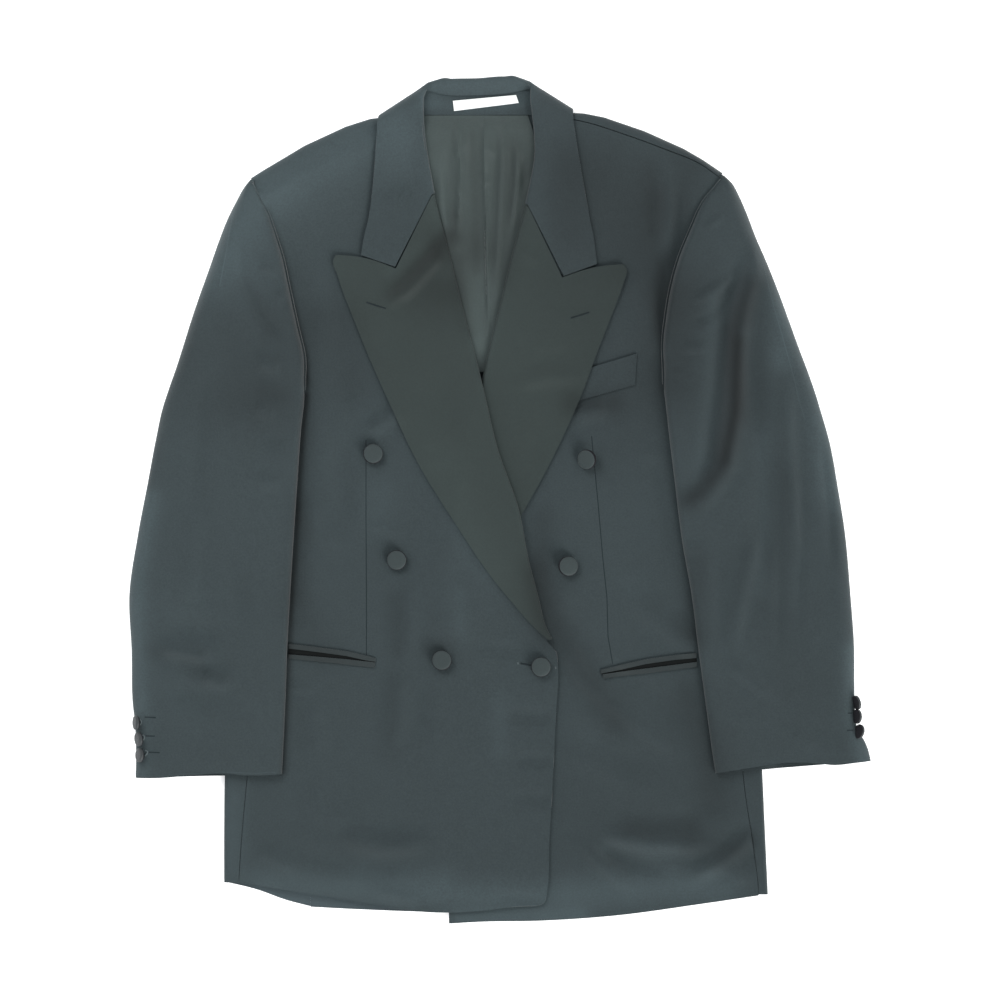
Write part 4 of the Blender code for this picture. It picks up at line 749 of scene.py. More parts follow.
# The creases of the lower front start outside the edge of the upper one.
UNDER_RELIEF_X = 30.0
UNDER_RELIEF_FADE = 30.0
FRONT_CREASES = (
    # half_width, depth, points along it
    (13, -2.2, (64, -140), (82, -176), (110, -202)),
    (12, -2.0, (104, -196), (140, -226), (174, -252)),
    (15, 1.4, (112, -168), (150, -192), (186, -226)),
    (13, -1.8, (120, -90), (160, -122), (198, -152)),
    (14, -1.4, (58, -88), (76, -110), (96, -134)),
    (11, -1.0, (66, -252), (110, -276), (156, -296)),
    (13, 1.0, (84, -236), (124, -256), (160, -268)),
    (12, -3.2, (104, -334), (150, -344), (208, -346)),
    (12, 1.2, (110, -310), (160, -318), (206, -316)),
    (10, -2.2, (82, -340), (104, -366), (130, -390)),
    (11, 1.8, (98, -346), (130, -362), (164, -372)),
    (11, -2.6, (192, -378), (222, -362), (258, -332)),
    (9, -1.6, (230, -366), (244, -384)),
    (10, 1.0, (196, -300), (226, -312)),
    (13, 1.2, (150, 60), (160, 0), (168, -60)),
    (12, -1.2, (146, 52), (160, 36)),
    (11, -2.4, (76, 84), (106, 92)),
    (9, -1.8, (166, 330), (168, 290), (166, 246)),
    (9, 1.0, (152, 322), (150, 262)),
    (8, 1.0, (180, 312), (180, 268)),
    (14, -2.0, (130, 226), (146, 190), (158, 144)),
    (8, 1.0, (164, 240), (158, 168)),
    (14, -2.8, (-160, -336), (-118, -346), (-70, -344)),
    (15, -1.6, (-192, -290), (-176, -312), (-152, -324)),
    (14, 1.2, (-200, -352), (-150, -366), (-90, -366)),
    (11, -1.7, (-90, -82), (-89, -120), (-92, -164)),
    (12, -1.9, (-104, -176), (-102, -210), (-105, -248)),
    (12, 1.0, (-78, -180), (-78, -240)),
    (6, -0.8, (-214, -187), (-186, -190)),
    (14, -1.1, (-188, -204), (-182, -254)),
    (10, 1.4, (4, -215), (30, -216), (52, -217)),
    (9, 1.3, (14, -259), (34, -260), (52, -260)),
    (9, 1.1, (12, -298), (34, -298), (52, -299)),
    (9, 1.1, (-22, -146), (4, -150), (22, -154)),
    (10, -1.9, (-132, 68), (-116, 78), (-98, 88)),
    (12, -1.5, (-194, -4), (-184, -30), (-162, -50)),
    (16, 1.4, (-158, 62), (-158, 24), (-154, -18)),
    (9, -1.2, (-128, -24), (-96, -36)),
    (14, 1.0, (-160, 134), (-148, 98)),
    (12, -1.6, (-240, -350), (-204, -370)),
    (9, -1.2, (-124, -390), (-82, -402)),
    (24, 0.9, (-64, -256), (-20, -304)),
    (7, 0.9, (-4, -396), (20, -399), (44, -399)),
    (16, -1.0, (-196, 236), (-176, 196), (-172, 150)),
    (18, 1.2, (-40, -60), (-46, -112)),
    (18, 2.6, (-206, 190), (-204, 130), (-205, 60), (-209, -30), (-214, -120)),
)
# Hollows that the buttons' threads pull into the cloth.
BUTTON_PULLS = (
    # half_width, depth, place
    (14, 1.2, (-127, 48)),
    (14, 1.2, (-103, -58)),
    (14, 1.2, (-58, -158)),
    (14, 1.4, (88, 43)),
    (14, 1.4, (68, -64)),
)


def pad(x, y):
    """Thickness that the shoulder pad adds to the wall, thinned out before the shoulder's fold."""
    return PAD_SHARE * shoulder_rise(x, y) * smooth((shoulder_y(x) - PAD_END - y) / PAD_THINNING)


def front_relief(x, y):
    """Height of all the creases of a front."""
    return creased(x, y, FRONT_CREASES) + creased(x, y, BUTTON_PULLS)


def thickened(outer, thickness):
    """The inner grid of a wall whose outer grid faces up on the whole."""
    normals = unit_normals(outer)
    if normals[..., 2].sum() <= 0:
        normals = -normals
    return outer - normals * np.broadcast_to(thickness, outer.shape[:2])[..., None]


x, y = under_plan[..., 0], under_plan[..., 1]
relief = front_relief(x, y) * smooth((x - UNDER_RELIEF_X) / UNDER_RELIEF_FADE)
outer = np.dstack([under_plan, front_top(x, y) + relief])
front_under = shell("front_under_cloth", outer, thickened(outer, FRONT_WALL + pad(x, y)), wool)
sewn(front_under, "front_under")

# ------------------------------------------------------------------------------------------------------
# Breast welt. A slanting folded strip of the same wool over the breast pocket, with its inner end under
# the lapel; it is stitched down at its ends.
# ------------------------------------------------------------------------------------------------------
TRIM_WALL = 1.1
TRIM_REST_REACH = 1.5
WELT_TOP = ((85.5, 129.5), (92.3, 133), (137, 146.4))
WELT_BOTTOM = ((72.5, 96.0), (79.5, 99.5), (135, 115.2))


def polyline(points, shares):
    """Points at these shares of the way along a line of points."""
    points = np.array(points, float)
    legs = np.linalg.norm(np.diff(points, axis=0), axis=1)
    at = np.concatenate([[0.0], np.cumsum(legs)]) / legs.sum()
    return np.stack([np.interp(shares, at, column) for column in points.T], axis=-1)


def trim(name, top_line, bottom_line, below, rows, columns, material, thickness=TRIM_WALL):
    """A strip between two lines, laid on what is below it."""
    shares = np.linspace(0.0, 1.0, columns)
    top = polyline(top_line, shares)
    bottom = polyline(bottom_line, shares)
    plan = np.stack([bottom + (top - bottom) * share for share in np.linspace(0.0, 1.0, rows)])
    low = support(plan[..., 0], plan[..., 1], below, TRIM_REST_REACH) + LAY_GAP / 2
    return shell(name, np.dstack([plan, low + thickness]), np.dstack([plan, low]), material)


welt = trim("breast_welt_cloth", WELT_TOP, WELT_BOTTOM, ["front_under_cloth"], 9, 16, wool)
sewn(welt, "breast_welt")

# ------------------------------------------------------------------------------------------------------
# Lapel of the lower front. Satin, turned over at the roll line so that it lies on the front; its peak
# points at the shoulder and its upper edge meets the collar at the gorge.
# ------------------------------------------------------------------------------------------------------
LAPEL_ROW_STEP = 5.0
LAPEL_INNER_COLUMNS = 12
LAPEL_OUTER_COLUMNS = 15
LAPEL_REST_REACH = 4.0
LAPEL_DRAPE_ROUNDS = 12
# The roll takes no more of the width than this share, its inside is never tighter than the core, and
# it is drawn in steps of this many degrees.
ROLL_WIDTH_SHARE = 0.48
ROLL_CORE = 0.15
ROLL_TURN_STEP = 15
# Distances from the roll over which the lapel settles, comes down from what is below, and is plain.
ROLL_SETTLE = 22.0
ROLL_CLEAR = 16.0
ROLL_CLEAR_REACH = 5.0
ROLL_PLAIN = 12.0
GORGE_SHARE = 0.45
LAPEL_UNDER_SLANT = -0.205
LAPEL_UNDER_CREASES = (
    # half_width, depth, points along it
    (10, -1.6, (14, 116), (44, 122), (82, 124)),
    (10, 0.9, (36, 140), (70, 146)),
    (12, 0.7, (30, 60), (44, 40)),
    (14, 0.6, (60, 200), (84, 190)),
    (8, -1.0, (14, 252), (36, 240)),
)


def draped(low, rounds):
    """Heights of cloth drawn taut over what holds it up, never below low."""
    height = low.copy()
    for _ in range(rounds):
        padded = np.pad(height, 1, mode="edge")
        mean = (padded[:-2, 1:-1] + padded[2:, 1:-1] + padded[1:-1, :-2] + padded[1:-1, 2:]) / 4
        height = np.maximum(low, mean)
    return height


def lapel(name, table, below, slant, creases, clear_of=()):
    """A lapel: its roll curls up from the front's edge, and the rest lies on the front."""
    rows = filled(table, LAPEL_ROW_STEP)
    roll = rows[:, 0:2]
    edge = rows[:, 2:4]
    drop, bow = rows[:, 4:6].T
    width = np.linalg.norm(edge - roll, axis=1)
    inward = (edge - roll) / width[:, None]
    radius = np.minimum(ROLL_RADIUS, width * ROLL_WIDTH_SHARE)
    inner_shares = np.linspace(0.0, GORGE_SHARE, LAPEL_INNER_COLUMNS)
    outer_shares = np.linspace(GORGE_SHARE, 1.0, LAPEL_OUTER_COLUMNS)[1:]
    shares = np.concatenate([inner_shares, outer_shares])
    start = (radius / width)[:, None]
    run = start + (1.0 - start) * shares[None, :]
    plan = roll[:, None, :] + (edge - roll)[:, None, :] * run[..., None]
    kink = np.interp(shares, [0.0, GORGE_SHARE, 1.0], [0.0, 1.0, 0.0])
    plan[..., 0] += slant * drop[:, None] * kink
    plan[..., 1] -= drop[:, None] * kink
    outside = np.clip((shares - GORGE_SHARE) / (1.0 - GORGE_SHARE), 0.0, 1.0)
    plan[..., 1] += bow[:, None] * np.sin(math.pi * outside)
    x, y = plan[..., 0], plan[..., 1]
    from_roll = run * width[:, None] - radius[:, None]
    held = support(x, y, below, LAPEL_REST_REACH) + LAY_GAP
    bottom = draped(held, LAPEL_DRAPE_ROUNDS) + ROLL_LIFT * np.exp(-from_roll / ROLL_SETTLE)
    if clear_of:
        inside = roll + inward * radius[:, None]
        lowest = support(inside[:, 0], inside[:, 1], clear_of, ROLL_CLEAR_REACH) + LAY_GAP
        short = np.maximum(lowest + 2 * radius - FRONT_WALL - bottom[:, 0], 0.0)
        bottom += short[:, None] * np.exp(-((from_roll / ROLL_CLEAR) ** 2))
    bottom += creased(x, y, creases) * smooth(from_roll / ROLL_PLAIN)
    flat_outer = np.dstack([plan, bottom + FRONT_WALL])
    flat_inner = np.dstack([plan, bottom])
    centre = flat_outer[:, 0, 2] - radius
    curls = []
    for far in (radius, np.maximum(radius - FRONT_WALL, ROLL_CORE)):
        rings = []
        for angle in range(0, 180, ROLL_TURN_STEP):
            a = math.radians(angle)
            across = roll + inward * (radius - far * math.sin(a))[:, None]
            rings.append(np.column_stack([across, centre - far * math.cos(a)]))
        curls.append(np.stack(rings, axis=1))
    outer = np.concatenate([curls[0], flat_outer], axis=1)
    inner = np.concatenate([curls[1], flat_inner], axis=1)
    return shell(name, outer, inner, satin)


satin = woven("facing_satin", (0.0200, 0.0280, 0.0270), 0.62, 0.16, 0.06, 0.4, 0.03, 0.10, 0.35)
lapel_under = lapel("lapel_under_cloth", LAPEL_UNDER_ROWS, ["front_under_cloth", "breast_welt_cloth"],
                    LAPEL_UNDER_SLANT, LAPEL_UNDER_CREASES)
sewn(lapel_under, "lapel_under")

# ------------------------------------------------------------------------------------------------------
# Front that laps over, on the viewer's left. It rests on the other front, and its shoulder end turns
# down round the shoulder's fold, because its shoulder seam is behind.
# ------------------------------------------------------------------------------------------------------
LAPEL_OVER_ROWS = (
    # roll_x, roll_y, edge_x, edge_y, drop, bow
    (52.5, -139, 48.5, -140, 0, 0),
    (47, -129, 38, -131, 0, 0),
    (38.5, -97, 12.5, -103, 0, 0),
    (28.8, -60, -13, -71, 0, 0),
    (19.8, -13, -41, -29, 0, 0),
    (-3, 54, -81.5, 36, 0, 0),
    (-19, 122, -111, 98, 0, 0),
    (-31.2, 169, -131, 143, 0, 0),
    (-41.4, 209, -148, 185, 2, 0),
    (-51, 248, -157, 208, 18, 0.5),
    (-58.5, 277, -163, 226, 32, 2),
    (-63, 294, -167.2, 238, 41.5, 3.5),
    (-65.8, 305.2, -164.5, 245, 45.8, 3.6),
)
OVER_HEM = ((0, 0), (0.19, 5), (0.33, 8), (0.45, 11.5), (0.58, 15), (0.7, 14), (0.83, 8.5), (0.93, 2.5),
            (1, 0))
OVER_CROWN = ((0, 0), (0.12, 6), (0.3, 10), (0.5, 11), (0.72, 9), (0.9, 4.5), (1, 0))
OVER_COLUMNS = 80
OVER_REST_REACH = 6.0
OVER_DRAPE_ROUNDS = 120
# How many degrees the shoulder end turns round the fold.
OVER_TURN = 160

plan = front_plan(OVER_ROWS, LAPEL_OVER_ROWS, OVER_HEM, OVER_CROWN, OVER_COLUMNS)
x, y = plan[..., 0], plan[..., 1]
thickness = FRONT_WALL + pad(x, y)
level = front_top(x, y) - thickness
held = support(x, y, ["front_under_cloth", "lapel_under_cloth"], OVER_REST_REACH) + LAY_GAP
bottom = draped(np.maximum(level, held), OVER_DRAPE_ROUNDS)
outer = np.dstack([plan, bottom + thickness + front_relief(x, y)])
top = outer[-1]
outward = (shoulder_y(top[:, 0]) - top[:, 1]) / SHOULDER_OUT_RATE
outline = top[:, :2] + outward[:, None] * np.array([-SHOULDER_OUT_X, SHOULDER_OUT_Y])
low = neck_lift(top[:, 0], top[:, 1]) + LAY_GAP
turned = shoulder_turn(top, outline, low, range(TURN_STEP, OVER_TURN, TURN_STEP))
outer = np.concatenate([outer, turned])
thickness = np.concatenate([thickness, np.full(turned.shape[:2], BACK_WALL)])
front_over = shell("front_over_cloth", outer, thickened(outer, thickness), wool)
sewn(front_over, "front_over")

# ------------------------------------------------------------------------------------------------------
# Lapel of the upper front. The same satin, longer than the other one: it runs from the collar down to
# the fastened button, and shows a shallow hollow below the gorge.
# ------------------------------------------------------------------------------------------------------
LAPEL_OVER_SLANT = 0.165
LAPEL_OVER_CREASES = (
    # half_width, depth, points along it
    (9, -2.2, (-46, 262), (-68, 236), (-92, 210), (-114, 196)),
    (4.5, -0.8, (-62, 272), (-72, 264)),
    (8, 0.8, (-76, 50), (-56, 42)),
    (8, -0.8, (-52, 24), (-36, 14)),
    (16, 0.8, (-124, 166), (-96, 126)),
    (18, 0.9, (-70, 120), (-50, 60)),
)
lapel_over = lapel("lapel_over_cloth", LAPEL_OVER_ROWS, ["front_over_cloth"], LAPEL_OVER_SLANT,
                   LAPEL_OVER_CREASES, ["lapel_under_cloth", "front_under_cloth"])
sewn(lapel_over, "lapel_over")

# ------------------------------------------------------------------------------------------------------
# Collar. One strip of wool, from the left leaf round the back of the neck to the right leaf. Where turn
# is 0 it lies on the fronts, at 90 it stands on edge beside the neck, and at 180 it lies under the back.
# ------------------------------------------------------------------------------------------------------
COLLAR_ROWS = (
    # roll_x, roll_y, roll_z, edge_x, edge_y, edge_z, turn, drop, leg
    (-66.3, 307, 8.6, -139.0, 244.8, 9.0, 0, 42, 0),
    (-68.8, 320, 9.0, -136.0, 263, 9.5, 0, 27, 0),
    (-72, 338, 10.0, -131.5, 281, 10.5, 0, 13, 0),
    (-75, 357, 11.2, -127.5, 310, 12.0, 0, 3, 0),
    (-77, 378, 12.4, -124.6, 345, 13.6, 0, 0, 0),
    (-77.3, 394, 12.9, -123, 368, 14.6, 0, 0, 0),
    (-77, 403, 12.6, -122.4, 378.5, 14.8, 4, 0, 0),
    (-76, 407, 11.2, -121, 383, 12.4, 45, 0, 2),
    (-73.5, 411.8, 9.4, -119.6, 384.6, 7.6, 90, 0, 5),
    (-69.5, 416.3, 8.2, -118, 383, 2.6, 135, 0, 9),
    (-62, 419.5, 7.8, -114, 377, 1.1, 176, 0, 13),
    (-48, 420.3, 7.6, -84, 371, 1.1, 180, 0, 15.4),
    (-22, 420.8, 7.6, -22, 372, 1.1, 180, 0, 13.6),
    (4, 422.6, 7.6, 38, 370, 1.1, 180, 0, 15.2),
    (18, 421.8, 7.8, 66, 374, 1.1, 176, 0, 13),
    (27, 417.5, 8.2, 71, 389, 2.0, 135, 0, 8),
    (31, 413.5, 9.2, 72.3, 390.3, 7.6, 90, 0, 4),
    (31.5, 408.5, 11.0, 72.8, 388.5, 12.4, 45, 0, 2),
    (31.2, 403, 12.4, 73, 383, 14.4, 4, 0, 0),
    (33, 386, 12.6, 75.5, 364, 14.2, 0, 0, 0),
    (35.3, 362, 11.8, 80.5, 333, 12.6, 0, 0, 0),
    (35.4, 344, 10.8, 85.5, 305, 11.2, 0, 5, 0),
    (32.5, 325, 9.9, 90, 280, 10.2, 0, 16, 0),
    (28.3, 306, 9.1, 94.5, 257, 9.4, 0, 32, 0),
    (26.2, 296.4, 8.6, 97.0, 236.0, 9.0, 0, 41.5, 0),
)
COLLAR_ROW_STEP = 5.0
COLLAR_HALF_COLUMNS = 9
COLLAR_BEND = 0.5
COLLAR_SLANT = 0.035
COLLAR_ROLL_RADIUS = 2.2
# The leg is the short part behind the roll, of at least this length.
COLLAR_LEG_LEAST = 0.5
COLLAR_LEG_SLOPE = 0.26
COLLAR_LEG_SHARES = (1.0, 0.8, 0.6, 0.4, 0.2)
# Rows with less turn than this, in degrees, are the leaves that lie on the fronts.
LEAF_TURN = 30
LEAF_REST_REACH = 4.0
LEAF_DRAPE_ROUNDS = 6
LEAF_CURL = 12.0
LEAF_SLANT_DROP = 8.0
COLLAR_CREASES = (
    # half_width, depth, points along it
    (5.5, -1.3, (-124, 300), (-104, 303), (-80, 308)),
    (7, 0.7, (-116, 318), (-90, 320)),
    (8, 0.6, (-96, 352), (-84, 316)),
    (6, -0.9, (36, 295), (52, 297)),
    (9, -0.6, (54, 330), (66, 300)),
)
# Over this height, in millimetres, the leaf passes from its own shape to that of the front below it.
LEAF_BLEND = 0.5
rows = filled(COLLAR_ROWS, COLLAR_ROW_STEP)
roll, edge = rows[:, 0:3], rows[:, 3:6]
turn = np.radians(np.clip(rows[:, 6], 0.0, 180.0))
drop = np.clip(rows[:, 7], 0.0, None)
leg = np.clip(rows[:, 8], COLLAR_LEG_LEAST, None)
flat = edge[:, :2] - roll[:, :2]
width = np.linalg.norm(flat, axis=1)
along = np.column_stack([flat / width[:, None], np.zeros(len(rows))])
outward = np.column_stack([along[:, 1], -along[:, 0], np.zeros(len(rows))])
outward *= np.sign(outward[:, 1])[:, None]
across = outward * np.sin(turn)[:, None] + np.array([0, 0, 1]) * np.cos(turn)[:, None]
far = COLLAR_ROLL_RADIUS
centre = roll + along * far
downhill = along + across * (COLLAR_LEG_SLOPE * np.sin(turn / 2) ** 4)[:, None]
grid = [centre + downhill * leg[:, None] * share - across * far for share in COLLAR_LEG_SHARES]
for angle in range(-90, 90, ROLL_TURN_STEP):
    a = math.radians(angle)
    grid.append(centre - along * far * math.cos(a) + across * far * math.sin(a))
leaf = []
near_roll = np.linspace(0.0, COLLAR_BEND, COLLAR_HALF_COLUMNS)
near_edge = np.linspace(COLLAR_BEND, 1.0, COLLAR_HALF_COLUMNS)[1:]
start = centre + across * far
for share in (*near_roll, *near_edge):
    point = start + (edge - start) * share
    kink = np.interp(share, [0.0, COLLAR_BEND, 1.0], [0.0, 1.0, 0.0])
    point[:, 0] += COLLAR_SLANT * drop * kink * np.sign(point[:, 0])
    point[:, 1] -= drop * kink
    leaf.append(point)
leaf = np.stack(leaf, axis=1)
on_front = rows[:, 6] < LEAF_TURN
x, y = leaf[on_front, :, 0], leaf[on_front, :, 1]
held = support(x, y, ["front_over_cloth", "front_under_cloth", "back_right_cloth"], LEAF_REST_REACH)
lowest = draped(held + 2 * LAY_GAP + COLLAR_WALL / 2, LEAF_DRAPE_ROUNDS)
free = leaf[on_front, :, 2]
lay = LEAF_BLEND * np.logaddexp(free / LEAF_BLEND, lowest / LEAF_BLEND)
from_roll = np.hypot(x - x[:, :1], y - y[:, :1])
curl = np.maximum(free[:, :1] - lowest[:, :1], 0.0) * np.exp(-((from_roll / LEAF_CURL) ** 2))
slanting = smooth(drop[on_front] / LEAF_SLANT_DROP)[:, None]
lay += (lowest + curl - lay) * slanting
leaf[on_front, :, 2] = lay + creased(x, y, COLLAR_CREASES)
grid = np.concatenate([np.stack(grid, axis=1), leaf], axis=1)
half = unit_normals(grid) * COLLAR_WALL / 2
# What lies under the back rests on the table.
upper, lower = grid + half, grid - half
upper[..., 2] = np.maximum(upper[..., 2], 0.0)
lower[..., 2] = np.maximum(lower[..., 2], 0.0)
collar = shell("collar_cloth", upper, lower, wool)
sewn(collar, "collar")

# ------------------------------------------------------------------------------------------------------
# Collar stand and label. The strip of wool that shows inside the back of the neck, and on it a blank
# label of off-white woven tape, folded at its ends and stitched on.
# ------------------------------------------------------------------------------------------------------
STAND_WALL = 1.6
STAND_TOP = ((-76, 411, 3.6), (-66, 408.6, 3.6), (-40, 406, 3.6), (-7, 407, 3.6), (20, 410, 3.6),
             (31, 412.5, 3.6))
STAND_BOTTOM = ((-78, 385.4, 4.6), (-58, 384.9, 4.2), (-27, 384.8, 4.2), (10, 385.2, 4.2),
                (33.5, 385.0, 4.6))
LABEL_TOP = ((-47.1, 399.2), (16, 405.0))
LABEL_BOTTOM = ((-46, 389.0), (18.8, 397.1))
LABEL_WALL = 0.6
STAND_ROWS = 7
STAND_COLUMNS = 40
shares = np.linspace(0.0, 1.0, STAND_COLUMNS)
top = polyline(STAND_TOP, shares)
bottom = polyline(STAND_BOTTOM, shares)
grid = np.stack([bottom + (top - bottom) * share for share in np.linspace(0.0, 1.0, STAND_ROWS)])
raised = grid + np.array([0.0, 0.0, STAND_WALL])
stand = shell("collar_stand_cloth", raised, grid, wool)
sewn(stand, "collar_stand")
tape = woven("label_tape", (0.74, 0.76, 0.75), 0.7, 0.3, 0.0, 0.5, 0.08, 0.05, 0.06)
label = trim("neck_label_cloth", LABEL_TOP, LABEL_BOTTOM, ["collar_stand_cloth"], 7, 24, tape, LABEL_WALL)
# The tape gets no painted light and shade.
label.data.attributes.remove(label.data.attributes["painted_light"])
sewn(label, "neck_label")

# ------------------------------------------------------------------------------------------------------
# Sleeves. Each is a top sleeve of wool, turned under at both edges, on an under sleeve that lies on the
# table and climbs onto the body's side. The cap is eased into the armhole over the shoulder pad.
# ------------------------------------------------------------------------------------------------------
SLEEVE_WALL = 1.8
SLEEVE_LEFT_ROWS = (
    # outer_x, outer_y, inner_x, inner_y, outer_top, inner_top, wrap, hind_x
    (-364.6, -278, -218, -274, 10.5, 14.5, 1, -352),
    (-364.2, -264, -217.3, -262, 12.0, 15.0, 1, -351),
    (-364.4, -240, -216.2, -238, 12.0, 15.2, 1, -350),
    (-365.4, -221, -215.3, -220, 12.0, 15.4, 1, -352),
    (-367.2, -206, -214.6, -205, 12.0, 15.6, 1, -355),
    (-368.6, -150, -212.7, -150, 12.5, 16.5, 1, -356),
    (-370.9, -97, -210, -100, 13.5, 17.0, 1, -358),
    (-362.3, -35, -206, -35, 14.0, 17.5, 1, -350),
    (-352.8, 15, -202, 25, 14.5, 18.0, 1, -341),
    (-344, 62, -198.5, 74, 15.5, 18.0, 1, -300),
    (-337.5, 92, -195.5, 100, 16.5, 18.0, 0.7, -240),
    (-331, 112, -195, 118, 17.0, 18.5, 0.25, -222),
    (-324, 132, *ARMHOLE_LEFT[1], 17.5, 18.5, 0, -216),
    (-316, 157, *ARMHOLE_LEFT[2], 18.5, 18.5, 0, -215),
    (-308.5, 181, *ARMHOLE_LEFT[3], 19.5, 19.0, 0, -216),
    (-300, 206, *ARMHOLE_LEFT[4], 20.5, 19.5, 0, -219),
    (-291, 231, *ARMHOLE_LEFT[5], 21.0, 20.0, 0, -224),
    (-283, 254, *ARMHOLE_LEFT[6], 20.8, 20.2, 0, -231),
    (-273, 280, *ARMHOLE_LEFT[7], 20.2, 20.0, 0, -241),
    (-263, 300, *ARMHOLE_LEFT[8], 19.2, 19.4, 0, -251),
    (-256, 312.5, -246.2, 317.4, 17.0, 17.6, 0, -251),
    (-252, 317.6, -247.6, 320.6, 14.6, 15.0, 0, -250.5),
)
SLEEVE_RIGHT_ROWS = (
    # outer_x, outer_y, inner_x, inner_y, outer_top, inner_top, wrap, hind_x
    (371, -261, 215.5, -273.2, 10.5, 14.5, 1, 358),
    (368.4, -250, 213.2, -260, 11.0, 14.8, 1, 353),
    (364.4, -240.5, 211.4, -247, 11.0, 15.0, 1, 349),
    (358.6, -231, 209.9, -236, 11.0, 15.2, 1, 345),
    (355.8, -221, 208.3, -224, 11.5, 15.4, 1, 343),
    (355.0, -205, 206, -207, 11.8, 15.7, 1, 342.5),
    (354.5, -180, 202.5, -181, 12.1, 16.1, 1, 342),
    (354.4, -150, 198.3, -150, 12.5, 16.5, 1, 342),
    (350.8, -97, 191.8, -97, 13.5, 17.0, 1, 338),
    (345.4, -35, 181.5, -38, 14.0, 17.5, 1, 332),
    (338.4, 10, 175, 15, 14.5, 18.0, 1, 326),
    (329.7, 58, 169.5, 60, 15.5, 18.0, 1, 300),
    (321.2, 88, 166, 92, 16.5, 18.0, 0.9, 240),
    (314.8, 109, 163.5, 112, 17.0, 18.5, 0.5, 215),
    (309.2, 125, *ARMHOLE_RIGHT[0], 17.5, 18.5, 0.1, 200),
    (299.4, 151, *ARMHOLE_RIGHT[1], 18.5, 18.5, 0, 194),
    (288.9, 180, *ARMHOLE_RIGHT[2], 19.5, 19.0, 0, 192),
    (276.7, 213, *ARMHOLE_RIGHT[3], 20.5, 19.5, 0, 196),
    (265.8, 240, *ARMHOLE_RIGHT[4], 21.0, 20.0, 0, 203),
    (256.2, 262, *ARMHOLE_RIGHT[5], 20.8, 20.2, 0, 212),
    (245.4, 290, *ARMHOLE_RIGHT[6], 20.0, 20.0, 0, 226),
    (238.2, 306, 214.6, 314, 19.0, 19.2, 0, 230),
    (232, 317, 219.2, 321.2, 17.4, 18.0, 0, 228),
    (225.4, 323.2, 219.8, 325.2, 14.6, 15.4, 0, 223),
)
# Share of the way from the outer to the inner edge, and how far the hem rises above a straight line.
CUFF_LEFT_HEM = ((0, 0), (0.15, -0.6), (0.33, 0.7), (0.5, 2.3), (0.62, 2.2), (0.76, -0.2), (1, 0))
CUFF_RIGHT_HEM = ((0, 0), (0.11, -0.7), (0.23, -1.2), (0.36, 2.3), (0.52, 5), (0.69, 3.8), (0.85, 1.9),
                  (1, 0))
CUFF_HEM_FADE = 30.0
ARMHOLE_GAP = SEAM_GAP * 1.4
# Radius of the turn at both edges, the larger rounds above them, and the most of the width each takes.
CUFF_EDGE_RADIUS = 3.0
CUFF_EDGE_SHARE = 0.3
OUTER_ROUNDING = 15.0
INNER_ROUNDING = 6.0
ROUNDING_SHARE = 0.45
EDGE_TURNS = (22, 45, 68)
# How far the top sleeve goes on below at its inner edge, and how close it comes to it at its outer one.
FORE_TURN = 16.0
HIND_LEAST = 0.6
# In the armhole the turned edge closes up, with its columns this close together.
CLOSED_STEP = 0.08
HIND_COLUMNS = 5
ROUND_COLUMNS = 12
ARM_SPANS = 37
# Creases fade over these distances from the outer and the inner edge.
OUTER_PLAIN = 14.0
INNER_PLAIN = 10.0
BODY_STEP_RAMP = 20.0
BODY_TOP_Y = 72.0
RAMP_COLUMNS = 10
UNDER_SPANS = 7
SLEEVE_CREASES = (
    # half_width, depth, points along it
    (12, -3.6, (258, 246), (242, 186), (237, 136), (234, 86), (227, 36), (208, 4), (190, -4)),
    (12, 2.4, (242, 252), (224, 190), (219, 136), (216, 86), (209, 44), (194, 20)),
    (14, 1.8, (250, 158), (256, 100), (262, 30), (262, -70)),
    (10, -2.4, (287, 116), (288, 60), (292, 0), (296, -60)),
    (6, 0.9, (280, 20), (280, -60), (279, -150)),
    (6, 0.8, (302, 20), (301, -60), (299, -130)),
    (8, 1.5, (322, 60), (329, 0), (333, -70)),
    (10, -2.0, (256, -36), (244, -84), (232, -144)),
    (12, 1.2, (222, -40), (220, -96), (224, -150)),
    (9, -1.8, (232, -164), (252, -180), (272, -198)),
    (9, -1.2, (294, -232), (314, -248)),
    (6, -1.8, (194, 198), (212, 207), (232, 224)),
    (7, 1.3, (192, 178), (212, 186), (226, 200)),
    (5, -1.1, (206, 272), (224, 284)),
    (6, -1.3, (182, 152), (206, 151)),
    (6, -1.0, (174, 128), (186, 124)),
    (7, -1.2, (182, -46), (200, -51)),
    (14, 1.2, (208, 110), (206, 60)),
    (8, 1.2, (-260, 262), (-257, 224), (-240, 188), (-214, 158)),
    (7, -1.7, (-238, 234), (-222, 228)),
    (6, -1.6, (-223, 205), (-208, 201)),
    (9, -1.3, (-207, 202), (-199, 174)),
    (10, -2.3, (-242, 138), (-220, 132)),
    (11, -1.8, (-244, 94), (-224, 86)),
    (11, -1.7, (-242, 20), (-220, 15)),
    (12, 1.2, (-236, 62), (-216, 56)),
    (10, -3.4, (-338, -148), (-314, -152), (-288, -156)),
    (11, -3.0, (-296, -176), (-270, -184)),
    (14, 1.6, (-330, -124), (-280, -132)),
    (12, -1.0, (-308, -10), (-310, -60), (-316, -116)),
    (14, 1.1, (-292, 130), (-300, 60), (-306, -20)),
    (12, 1.2, (-266, -70), (-258, -120)),
    (16, 1.2, (-326, -186), (-290, -208)),
    (12, 0.9, (-340, 60), (-352, -20)),
)


